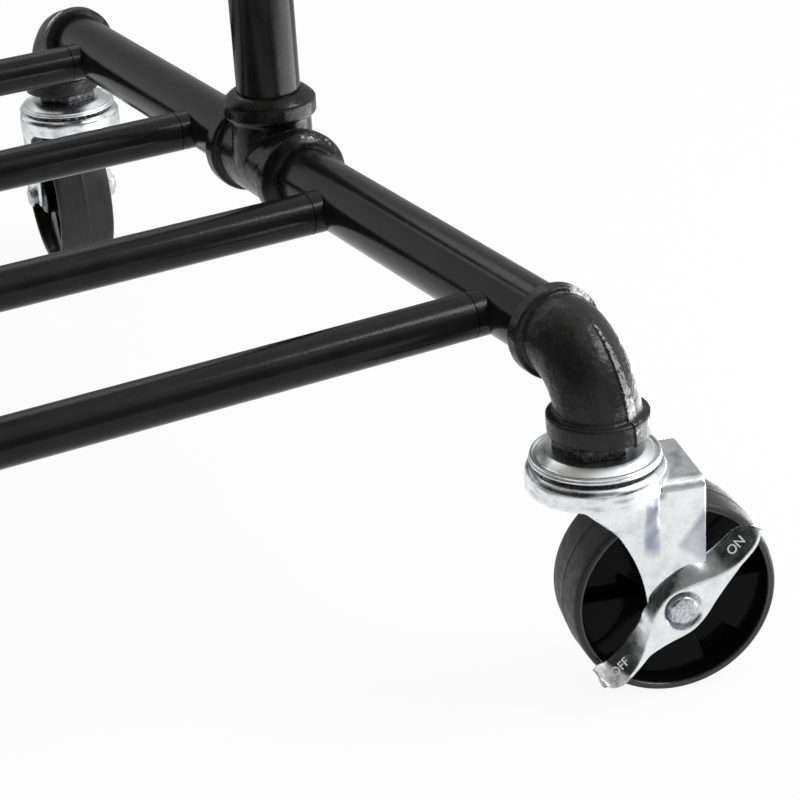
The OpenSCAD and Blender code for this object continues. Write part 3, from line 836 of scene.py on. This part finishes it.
def extruded(outline, height):
    """Prism over a flat outline of (x, y) points in mm."""
    bm = bmesh.new()
    face = bm.faces.new([bm.verts.new((x * MM, y * MM, 0)) for x, y in outline])
    made = bmesh.ops.extrude_face_region(bm, geom=[face])["geom"]
    bmesh.ops.translate(bm, vec=(0, 0, height * MM),
                        verts=[v for v in made if isinstance(v, bmesh.types.BMVert)])
    bmesh.ops.recalc_face_normals(bm, faces=bm.faces)
    return bm


def leg_side():
    """The outline of the legs and the top plate, from the axle."""
    low = math.degrees(math.asin(-LEAD[1] / LEAD_R))
    high = math.degrees(math.asin((rise - SKIRT - LEAD[1]) / LEAD_R))
    foot = arc((3, 6), 8.4, 20, 0, 4) + arc((0, 0), 11.5, 0, -180, 24)
    front = arc(LEAD, LEAD_R, low, high, 16) + [(-41, rise - SKIRT), (-41, plate_top)]
    return [(10, plate_top), (10, 14)] + foot + front


def channel_section(half, top, fold):
    """The folded sheet seen along the trail."""
    outer = arc((half - fold, top - fold), fold, 0, 90, 8)
    inner = arc((half - fold, top - fold), fold - SHEET, 90, 0, 6)
    right = [(half, 0)] + outer
    left = [(-x, y) for x, y in reversed(right)]
    inner_right = inner + [(half - SHEET, 0)]
    inner_left = [(-x, y) for x, y in reversed(inner_right)]
    return right + left + inner_left + inner_right


def legs():
    along_x = Matrix(((0, 0, 1), (1, 0, 0), (0, 1, 0))).to_4x4()
    folded = extruded(channel_section(LEG_HALF, plate_top, FOLD), 80)
    side = moved(extruded(leg_side(), 50), shift(z=-25), turn(X, 90), shift(trail, 0, axle_z))
    return combined(moved(folded, along_x, shift(-30, 0, axle_z)), side, "INTERSECT")


print("Fork: the head is", round(rise, 1), "mm over the axle")

# %% [markdown]
# The web is a grid bent between two curves: at its foot it lies flat in the leg, and at its top
# it follows the cup's round skirt. A smooth step between the two gives the drawn hollow that the
# press leaves. Its inner side is pushed straight back, so that the melted sheet has a thickness.

# %% The fork's cup, web and flute
WEB_FALL, WEB_OVERLAP, WEB_END = 19, 4, 17
FLUTE_X = 14         # from the stem, along the trail


def cup():
    r, wall = HEAD_R, SHEET
    outline = [(0, SKIRT), (r - 3, SKIRT)] + arc((r - 3, SKIRT - 3), 3, 80, 0, 6)
    outline += [(r, 0), (r - wall, 0), (r - wall, SKIRT - 3.2), (r - wall - 0.6, SKIRT - wall)]
    return turned(outline + [(0, SKIRT - wall)], steps=96)


def lead_edge(z):
    """Where a leg's curved leading edge lies, from the stem, at a height over the axle."""
    return trail + LEAD[0] + math.sqrt(LEAD_R ** 2 - (z - LEAD[1]) ** 2)


def web(side):
    """The sheet drawn from the cup's skirt down into a leg."""
    bm = bmesh.new()
    bmesh.ops.create_grid(bm, x_segments=28, y_segments=28, size=0.5)
    tall = WEB_FALL + WEB_OVERLAP
    for vert in bm.verts:
        along, up = vert.co.x + 0.5, vert.co.y + 0.5
        z = rise - SKIRT - WEB_FALL + tall * up
        start = lead_edge(min(z, rise - SKIRT))
        s = start + (WEB_END - start) * along
        blend = min(up * tall / WEB_FALL, 1)
        blend = blend * blend * (3 - 2 * blend)
        d = LEG_HALF + (math.sqrt(HEAD_R ** 2 - s ** 2) - LEG_HALF) * blend
        vert.co = Vector((s, -side * d, z)) * MM
    made = bmesh.ops.extrude_face_region(bm, geom=bm.faces[:])["geom"]
    for vert in made:
        if isinstance(vert, bmesh.types.BMVert):
            vert.co.y = -side * (LEG_HALF - 1.5) * MM
    bmesh.ops.recalc_face_normals(bm, faces=bm.faces)
    return moved(bm, Matrix.Translation((0, 0, AXLE_Z)))


def flute(side):
    """A long swelling from the press that stiffens a leg."""
    bm = bmesh.new()
    bmesh.ops.create_icosphere(bm, subdivisions=4, radius=MM)
    return moved(bm, Matrix.Diagonal((3.3, 2, 14, 1)),
                 shift(FLUTE_X, -side * (LEG_HALF - 0.9), axle_z + rise - 20.5))


print("Web:", WEB_FALL, "mm down each leg")


# %% Painted shade on the fork
def fork_painted_shade(at):
    """Painted shade: darker bluish metal on the flutes with a dark hook over each, a wedge low on each
    leg's trailing side and a band low on the legs. The cup's skirt and the plate between the legs get
    darker noise.
    """
    z = at.z - axle_z
    if math.hypot(at.x, at.y) > 23.5 and z > rise - SKIRT + 1:
        return clamp(0.9 * noise.noise(Vector((at.x, at.y, 3 * at.z)) / 5))
    across = max(0, 1 - abs((at.x - FLUTE_X) / 3.4) ** 4)
    along = max(0, 1 - abs((z - rise + 17.5) / 15.5) ** 4)
    wedge = min(at.x - 22 - (z - 23) * 0.75, (z - 23 + (at.x - 22) * 0.8), 3) / 3.5
    wedge *= 0.8 + 0.5 * noise.noise(at / 7)
    hook = max(0, 1 - abs((z - rise + 8.5) / 2.2) ** 2) * max(0, 1 - abs((at.x - 15) / 5) ** 4)
    if abs(at.y) < 16:
        return clamp(0.32 + 0.5 * noise.noise(at / 6)) * (at.x > 12 and z > rise - 6)
    low_leg_shade = 0.5 * noise.noise(at / 5) * max(0, 1 - abs((z - 12) / 9) ** 2)
    return clamp(max(across * along * (0.85 + 0.5 * noise.noise(at / 5)), wedge, hook, low_leg_shade))


# %% The fork
def fork():
    """All the forms melted together, with the axle's bores and the well round the stem."""
    head = moved(cup(), shift(z=HEAD_Z / MM - SKIRT))
    skin = melted(joined(legs(), head, web(1), web(-1), flute(1), flute(-1)), 0.45, 5)
    bore = turned([(0, -30), (4.2, -30), (4.2, 30), (0, 30)], steps=32)
    well = [(0, -12), (11, -12), (11, -SHEET), (6.4, -SHEET), (6.4, 4), (0, 4)]
    return cut(skin, moved(bore, turn(X, 90), shift(trail, 0, axle_z)),
               moved(turned(well, steps=48), Matrix.Translation((0, 0, HEAD_Z))))


def on_casters(names, mesh, body, slot, materials, place, casters=CASTERS):
    """The same piece on each caster. names are the piece's and its solid's, without the letter."""
    for caster in casters:
        piece(names[0] + caster, mesh, body + caster, slot, materials, names[1] + caster,
              place=place(caster))


fork_mesh = to_mesh(fork(), "fork", 50)
mark(fork_mesh, fork_painted_shade)
on_casters(("fork_sheet_", "fork_"), fork_mesh, "swivel_", "zinc_sheet", [ZINC], stem_frame)
print("Fork:", len(fork_mesh.polygons), "faces")

# %% [markdown]
# ## The wheel
#
# The wheel is moulded in black plastic: a slightly crowned tread with a parting line in its
# middle, a glossy lip, and on each side a dish with five broad spokes. One mesh carries three
# finishes: the tread is satin from use, the dish is as smooth as its mould and nearly mirrors the
# dark, and the lip is in between. Each face takes its finish from its distance to the axle, which
# is simpler than three meshes and leaves no gap between them.

# %% Plastics
def wheel_plastic():
    made, shader = new_finish("tread_plastic", (0.016, 0.016, 0.017), 0.5, specular=0.35)
    connect(made, shader,
            Base_Color=ramp(made, speckle(made, 140, 4), (0.3, 0.017), (0.7, 0.026)),
            Roughness=ramp(made, speckle(made, 350, 3), (0.3, 0.42), (0.7, 0.6)))
    bump(made, shader, speckle(made, 1800, 2), 0.2, 0.2)
    return made


def dish_plastic():
    made, shader = new_finish("dish_plastic", (0.003, 0.003, 0.003), 0.2, specular=0.3, ior=1.2)
    connect(made, shader, Roughness=ramp(made, speckle(made, 90), (0.3, 0.1), (0.7, 0.22)))
    bump(made, shader, speckle(made, 500, 1), 0.05, 0.2)
    return made


def lip_plastic():
    made, shader = new_finish("lip_plastic", (0.02, 0.02, 0.02), 0.18, specular=0.7)
    connect(made, shader, Roughness=ramp(made, speckle(made, 200), (0.3, 0.12), (0.7, 0.3)))
    return made


WHEEL_FINISHES = [wheel_plastic(), dish_plastic(), lip_plastic()]
ON_TREAD, ON_DISH, ON_LIP = range(3)
print("Plastics:", [finish.name for finish in WHEEL_FINISHES])

# %% The wheel
WHEEL_R = AXLE_Z / MM
WHEEL_HALF = 14                # half its width
RING_R = WHEEL_R - 3.2         # inside of the rim
SPOKES, FIRST_SPOKE, SPOKE_T = 5, 55, 19


def wheel_outline():
    r, half = WHEEL_R, WHEEL_HALF
    side = [(6.3, half + 0.1), (9.2, half + 0.1), (9.8, half - 0.5), (10.4, 4.6), (11, 4)]
    side += [(RING_R - 3.6, 4), (RING_R - 2.8, 4.5), (RING_R - 0.5, half - 0.8)]
    side += arc((RING_R + 0.3, half - 0.7), 0.7, 170, 90, 4)
    side += arc((r - 2.7, half - 2), 2, 90, 8, 6)
    tread = [(r - 0.15 - 0.6 * (z / 12) ** 2, z) for z in (10, 8, 6, 4, 2, 0.5)]
    half_outline = side + tread + [(r, 0.15)]
    return half_outline + [(x, -z) for x, z in reversed(half_outline)]


def spoke(middle_angle):
    """A broad flat sector from the hub to the rim."""
    inner = arc((0, 0), 9, -30, 30, 6)
    outer = arc((0, 0), RING_R + 0.5, 22, -22, 12)
    bm = extruded(inner + outer, SPOKE_T)
    rounded(bm, [edge for edge in bm.edges if rise_of(edge) < MM / 10], 0.7, 3)
    return moved(bm, shift(z=-SPOKE_T / 2), turn(Z, middle_angle))


def wheel():
    spokes = (spoke(FIRST_SPOKE + 360 // SPOKES * k) for k in range(SPOKES))
    bm = joined(turned(wheel_outline(), closed=True, steps=144), *spokes)
    for face in bm.faces:
        r = face.calc_center_median().to_2d().length / MM
        face.material_index = ON_DISH if r < RING_R - 0.5 else ON_LIP if r < RING_R + 0.5 else ON_TREAD
    return bm


wheel_mesh = to_mesh(wheel(), "wheel", 30)
on_casters(("wheel_moulded_", "wheel_"), wheel_mesh, "roller_", "wheel_plastic", WHEEL_FINISHES,
           axle_frame)
print("Wheel:", len(wheel_mesh.polygons), "faces")

# %% [markdown]
# ## The axle bolt
#
# The wheel turns on a bolt with a low domed head on one side and a nut on the other. Where there
# is a brake lever, the lever's sheet lies under the head, so that bolt is longer by as much. Head
# and shank are one turned outline, and the nut is the hexagon once more.

# %% The axle bolt
BOLT_HEAD_R, NUT_ACROSS, NUT_H = 5.2, 13, 5
OVER_LEVER = 2.3               # how much farther out the head sits over a lever


def bolt(seat):
    dome = [math.radians(a) for a in range(5, 95, 5)]
    head = [(0, seat + 3.5)]
    head += [(BOLT_HEAD_R * math.sin(a), seat + 1.9 + 1.6 * math.cos(a)) for a in dome]
    head += [(BOLT_HEAD_R, seat + 1.4), (4, seat)]
    shank = [(4, -LEG_HALF - 5.9), (3.4, -LEG_HALF - 6.5), (0, -LEG_HALF - 6.5)]
    nut = hexagon(NUT_ACROSS, NUT_H)
    rounded(nut, nut.edges[:], 0.5, 2)
    return joined(turned(head + shank, steps=96), moved(nut, shift(z=-LEG_HALF - NUT_H / 2)))


def painted_head_reflection(at):
    """Painted dark reflections: fine streaks one way across a bolt's head."""
    stretched = Vector((at.x + at.y, 4 * (at.x - at.y), at.z)) / 2
    return clamp(0.35 + 1.8 * noise.noise(stretched)) * (at.z > LEG_HALF)


def bolt_frame(caster):
    """On caster c the bolt goes in from the other side."""
    return axle_frame(caster) @ turn(Y, 180 if caster == "c" else 0)


for casters, seat in ((BRAKED, LEG_HALF + OVER_LEVER), (PLAIN, LEG_HALF)):
    bolt_mesh = to_mesh(bolt(seat), "bolt", 40)
    mark(bolt_mesh, painted_head_reflection)
    on_casters(("bolt_", "axle_bolt_"), bolt_mesh, "swivel_", "zinc_hardware", [HARDWARE],
               bolt_frame, casters)
print("Bolt:", len(bolt_mesh.polygons), "faces")

# %% [markdown]
# ## The brake lever
#
# A lever is one sheet, cut out flat and then bent: an outer face with a dish round the bolt, and
# a flange that turns in over the wheel as two pads with a narrow bridge between them. It twists
# all along, which no extrusion does. So it is built as a ship's hull is, from sections: each row
# gives one section, a smooth curve is laid through the rows, and a flat grid is moved onto it.

# %% Sections of the lever
FACE_Z = 23          # the outer face, from the wheel's middle
# Each row: place along the lever, the face's lower and upper edges, the flange's inner edge and
# its depth
ROWS = [
    (-38.2, -0.8, 0.2, 5.0, 18.6), (-37.6, -2.4, -1.2, 5.8, 18.0), (-35.4, -4.2, -3.1, 4.8, 16.8),
    (-33, -4.9, -3.9, 3.2, 16.2), (-28.5, -4.6, -3.6, 2.8, 16), (-24.5, -4.2, -2.6, 3.2, 16.2),
    (-20, -3.6, -0.6, 4.3, 16.2), (-15, -4.6, 2.4, 6.2, 17.2), (-11, -5.8, 5.0, 9.0, 18.9),
    (-7, -7.3, 6.9, 10.6, 19.2), (-3, -8.3, 8.1, 11.4, 19.2), (1, -8.3, 8.2, 11.6, 19.2),
    (5, -7.6, 6.8, 11.2, 19.2), (9, -6.4, 4.6, 10.6, 19), (13, -5.4, 2.6, 9.2, 18.4),
    (17, -4.5, 0.8, 7.4, 16.9), (21, -3.7, -0.8, 6.4, 16.2), (25, -2.9, -1.6, 6, 16),
    (29, -2.5, -1.4, 6, 16), (32.5, -2.0, -0.9, 5.9, 16.4), (35.2, -1.0, 0.1, 5.2, 17.4),
    (37.2, 0.3, 1.2, 4.0, 19.2), (38.2, 1.5, 2.1, 2.9, 21.4),
]
LAST = len(ROWS) - 1


def between_rows(at):
    """A row between the given ones, on a smooth curve through them."""
    i = min(int(at), LAST - 1)
    t = at - i
    before, a, b, after = (ROWS[clamp(k, 0, LAST)] for k in (i - 1, i, i + 1, i + 2))
    return [0.5 * (2 * q + (r - p) * t + (2 * p - 5 * q + 4 * r - s) * t * t
                   + (3 * q - p - 3 * r + s) * t ** 3)
            for p, q, r, s in zip(before, a, b, after)]


print("Lever:", len(ROWS), "rows over", round(ROWS[-1][0] - ROWS[0][0], 1), "mm")

# %% [markdown]
# Across a row the sheet runs up the outer face, round a bend and in along the flange. The bend is
# a curve between two points that stand equally far from the corner, so its radius stays small
# where the face is narrow. Near the bolt the face sinks into the dish.

# %% Across the lever
BEND_FROM, BEND_TO = 0.5, 0.7      # shares of the way across where the bend starts and ends
DISH_R, DISH_SLOPE, DISH_DEPTH = 8, 2.6, 1.5


def across_row(row, share):
    """A point of a row: share runs from the face's lower edge, 0, to the flange's inner edge, 1."""
    u, low, edge, inner, depth = row
    start, corner, end = Vector((low, FACE_Z)), Vector((edge, FACE_Z)), Vector((inner, depth))
    widest = 0.7 + 0.8 * clamp((u + 14) / 10)
    radius = min(widest, (corner - start).length * 0.45, (end - corner).length * 0.45)
    before = corner + (start - corner).normalized() * radius
    after = corner + (end - corner).normalized() * radius
    if share < BEND_FROM:
        v, d = start.lerp(before, share / BEND_FROM)
    elif share < BEND_TO:
        t = (share - BEND_FROM) / (BEND_TO - BEND_FROM)
        v, d = before.lerp(corner, t).lerp(corner.lerp(after, t), t)
    else:
        v, d = after.lerp(end, (share - BEND_TO) / (1 - BEND_TO))
    far = math.hypot(u, v)
    if share < BEND_TO and far < DISH_R:
        sink = clamp((DISH_R - far) / DISH_SLOPE)
        d -= DISH_DEPTH * sink * sink * (3 - 2 * sink)
    return Vector((u, v, d))


def lever_sheet():
    """The bent surface, given a thickness and broken edges."""
    bm = bmesh.new()
    bmesh.ops.create_grid(bm, x_segments=150, y_segments=34, size=0.5)
    for vert in bm.verts:
        row = between_rows((vert.co.x + 0.5) * LAST)
        vert.co = across_row(row, vert.co.y + 0.5) * MM
    bmesh.ops.recalc_face_normals(bm, faces=bm.faces)
    if sum(face.normal.z * face.calc_area() for face in bm.faces) < 0:
        bmesh.ops.reverse_faces(bm, faces=bm.faces)
    return after_modifiers(bm, [
        ("SOLIDIFY", {"thickness": 1.7 * MM, "offset": -1, "use_even_offset": False}),
        ("BEVEL", {"width": 0.3 * MM, "segments": 2, "limit_method": "ANGLE",
                   "angle_limit": math.radians(55)}),
    ])


print("Lever: the dish is", DISH_DEPTH, "mm deep")

# %% [markdown]
# ## Raised words
#
# The words on the pads say which end locks the wheel. They stand proud of the sheet and are
# rubbed paler than it. Letters could be a bump, but at this size their lit edges are what makes
# them readable, so they are a text curve turned into a mesh, thin and slightly bevelled, and laid
# on the pad by the directions in which the sheet runs there.

# %% Words
WORD_SHARE = 0.84      # how far across the sheet the words stand


def worn_edge():
    """Raised letters, worn pale."""
    made, shader = new_finish("worn_edge", (0.7, 0.7, 0.71), 0.6)
    connect(made, shader, Base_Color=ramp(made, speckle(made, 900), (0.3, 0.62), (0.7, 0.85)))
    return made


def letters(text, height):
    """A flat word as a mesh, centred on the origin."""
    curve = bpy.data.curves.new("word", "FONT")
    curve.body = text
    curve.size = height * MM
    curve.extrude = 0.3 * MM
    curve.bevel_depth = 0.05 * MM
    curve.offset = -0.04 * MM
    curve.align_x = curve.align_y = "CENTER"
    return worked_out(held(curve))


def word(text, height, row_at):
    """A raised word that lies on a pad."""
    def on_pad(row_step=0.0, share_step=0.0):
        return across_row(between_rows(row_at + row_step), WORD_SHARE + share_step)

    along = (on_pad(0.2) - on_pad(-0.2)).normalized()
    across = on_pad(0, 0.1) - on_pad(0, -0.1)
    normal = along.cross(across).normalized()
    if normal.z < 0:
        normal.negate()
    lie = Matrix((along, normal.cross(along), normal)).transposed().to_4x4()
    return moved(letters(text, height), lie, Matrix.Translation((on_pad() + 0.15 * normal) * MM))


LETTER = worn_edge()
print("Finish:", LETTER.name)

# %% The levers
TILT = 40.7            # degrees that the lever is turned about the bolt at rest


def lever():
    words = joined(word("ON", 4.6, 17.9), word("OFF", 4.3, 3.5))
    for face in words.faces:
        face.material_index = 1
    return joined(lever_sheet(), words)


def dished(at):
    """The shadow in the dish round the bolt, deeper on one side."""
    far = math.hypot(at.x, at.y)
    side = 0.5 + 0.5 * math.cos(math.atan2(at.y, at.x) - math.radians(150))
    ring = max(0, 1 - abs(far - 6.6) / 1.2)
    return min(ring * side * (1.8 + 0.9 * noise.noise(at / 2)) * (at.z > 20), 1.8)


lever_mesh = to_mesh(lever(), "lever", 50)
mark(lever_mesh, dished)
mark(lever_mesh, lambda at: clamp(-at.x - 32 - 0.45 * at.y), "scuffed")
on_casters(("lever_", "brake_lever_"), lever_mesh, "brake_", "zinc_sheet", [ZINC, LETTER],
           lambda caster: axle_frame(caster) @ turn(Z, TILT), BRAKED)
print("Lever:", len(lever_mesh.polygons), "faces")

# %% [markdown]
# ## The floor
#
# The cart stands in a white studio, so the floor has to be nearly white in the picture and still
# hold the cart's soft shadow. A plain white surface would look grey. This one mixes a matt
# surface with a glow and lets the kind of ray choose: the eye sees mostly glow and a little
# shadow, while light that bounces sees an ordinary matt floor. Reflections see a third thing,
# because black gloss and bright zinc only look right with something dark to mirror: painted
# shade on the paper under the cart, dark as a black card, and paper that is dimmer far behind
# the cart and in front of it.

# %% The floor
BEHIND = 0.4   # brightness of what stands behind the cart, where only reflections show it
AHEAD = 0.12   # and of the dark room low in front of it
SHADE_UNDER_CART = (-0.12, -0.1, 0)
VIEW_WAY = (0.4, 0.9, 0)


def backdrop_white():
    """Nearly white for the eye and in reflections, and still showing a soft shadow."""
    made = bpy.data.materials.new("pale_floor")
    made.use_nodes = True
    shader = made.node_tree.nodes["Principled BSDF"]
    shader.inputs["Base Color"].default_value = (0.8, 0.8, 0.8, 1)
    shader.inputs["Roughness"].default_value = 0.9
    path = node(made, "LightPath")
    camera, glossy = path.outputs["Is Camera Ray"], path.outputs["Is Glossy Ray"]
    place = node(made, "TexCoord").outputs["Object"]
    # Painted shade under the cart, seen only in reflections.
    shade_under_cart = soft_step(made, measured(made, "DISTANCE", place, SHADE_UNDER_CART), 0.2, 0.28, 0.02, 1.0)
    depth = measured(made, "DOT_PRODUCT", place, VIEW_WAY)
    far = soft_step(made, depth, 0.35, 0.9, 1.0, BEHIND)
    ahead = soft_step(made, depth, -0.8, -0.6, AHEAD, 1.0)
    paper = maths(made, "MULTIPLY", shade_under_cart, maths(made, "MULTIPLY", far, ahead))
    glow = node(made, "Emission", Color=(1, 1, 1, 1), Strength=maths(made, "MAXIMUM", camera, paper))
    share = maths(made, "MAXIMUM", maths(made, "MULTIPLY", camera, 0.93), glossy)
    mix = node(made, "MixShader")
    plug_all(made, mix.inputs, share, shader.outputs[0], glow.outputs[0])
    plug(made, mix.outputs[0], made.node_tree.nodes["Material Output"].inputs["Surface"])
    return made


floor_bm = bmesh.new()
bmesh.ops.create_grid(floor_bm, x_segments=1, y_segments=1, size=6)
floor = bpy.data.objects.new("floor", to_mesh(floor_bm, "floor"))
floor.data.materials.append(backdrop_white())
bpy.context.collection.objects.link(floor)
print("Floor:", [round(side) for side in floor.dimensions.to_2d()], "m")

# %% [markdown]
# ## The studio in the reflections
#
# A product studio hangs black flags and grey cloths out of view, and metal gets its contrast
# from them. Real cards in the scene would also cut off light. The world does it without that:
# four soft lobes, each a direction that glossy rays alone see darker, multiplied together. The
# world stays plain white for the eye, and for soft light it is a level that grows with height.

# %% The world
world = bpy.data.worlds.new("studio")
bpy.context.scene.world = world
world.use_nodes = True
rays = node(world, "LightPath").outputs
view = node(world, "TexCoord").outputs["Generated"]


def lobe(direction, start, end, level):
    """1 away from a direction, going softly down to a level round it."""
    facing = measured(world, "DOT_PRODUCT", view, Vector(direction).normalized())
    return soft_step(world, facing, start, end, 1.0, level)


def level_between(share, first, second):
    made = node(world, "Mix")
    plug_all(world, (made.inputs[0], *made.inputs[2:4]), share, first, second)
    return made.outputs[0]


flag = lobe((-0.9, -0.08, 0.42), 0.55, 0.8, 0.02)
front = lobe((-0.33, -0.68, 0.65), 0.78, 0.94, 0.22)
dusk = lobe((0.4, 0.9, 0.15), 0.6, 0.93, BEHIND)
gloom = lobe((0.39, -0.92, 0.12), 0.88, 0.975, AHEAD)
in_front = maths(world, "MULTIPLY", flag, maths(world, "MULTIPLY", front, gloom))
shown = maths(world, "MULTIPLY", in_front, dusk)
up = node(world, "SeparateXYZ", Vector=view).outputs["Z"]
ambient = node(world, "MapRange", Value=up, From_Min=-0.1, From_Max=1.0, To_Min=0.3,
               To_Max=0.75).outputs[0]
for_eye = maths(world, "MAXIMUM", rays["Is Camera Ray"], rays["Is Transmission Ray"])
level = level_between(for_eye, level_between(rays["Is Glossy Ray"], ambient, shown), 1.0)
background = world.node_tree.nodes["Background"]
background.inputs["Color"].default_value = (1, 1, 1, 1)
plug(world, level, background.inputs["Strength"])
print("World:", len(world.node_tree.nodes), "nodes")

# %% [markdown]
# ## Lamps
#
# The world lights everything softly, and three square lamps give the light a direction: a key
# from the right and above, a panel on the floor at the right that shines up at the fork and the
# wheel, and a weak one behind and above that edges the fittings. A sun or a spot would be
# simpler, but would throw hard shadows that a studio's soft boxes do not.

# %% Lamps
def lamp(name, place, aim, width, power):
    data = bpy.data.lights.new(name, "AREA")
    data.shape = "SQUARE"
    data.size = width
    data.energy = power
    made = bpy.data.objects.new(name, data)
    made.location = place
    made.rotation_euler = (Vector(place) - Vector(aim)).to_track_quat("Z", "Y").to_euler()
    made.visible_camera = False
    bpy.context.collection.objects.link(made)
    print("Lamp:", name, power, "W")


corner = Vector((END_X, -STEM_Y, RAIL_Z))
low = corner + Vector((0.46, -0.02, 0.004 - corner.z))
lamp("key", corner + Vector((0.9, -0.5, 1.1)), corner, 0.7, 14)
lamp("low_strip", low, low + Z, 0.64, 6.5)
lamp("back", corner + Vector((0.2, 1.4, 1.3)), corner, 0.9, 3)

# %% [markdown]
# ## The camera
#
# The camera stands in front of the cart, somewhat higher than the lower rail, and looks to the
# right end through a long lens, which keeps the rods nearly parallel. Its place is measured from
# the middle of the tee, so that it stays on the corner if the cart changes length. The Standard
# view transform keeps the white paper white; a filmic one would grey it.

# %% The camera
FROM_TEE = (-407.84, -900.64, 342.29)
CAMERA_TURN = (65.111, 3.445, -28.626)
tee_centre = Vector((END_X, 0, RAIL_Z))
camera_data = bpy.data.cameras.new("camera")
camera_data.sensor_width = 36
camera_data.lens = 111.225
camera = bpy.data.objects.new("camera", camera_data)
camera.location = tee_centre + Vector(FROM_TEE) * MM
camera.rotation_euler = [math.radians(a) for a in CAMERA_TURN]
bpy.context.collection.objects.link(camera)
bpy.context.scene.camera = camera
bpy.context.scene.view_settings.view_transform = "Standard"
print("Camera:", round((camera.location - tee_centre).length, 2), "m from the tee")
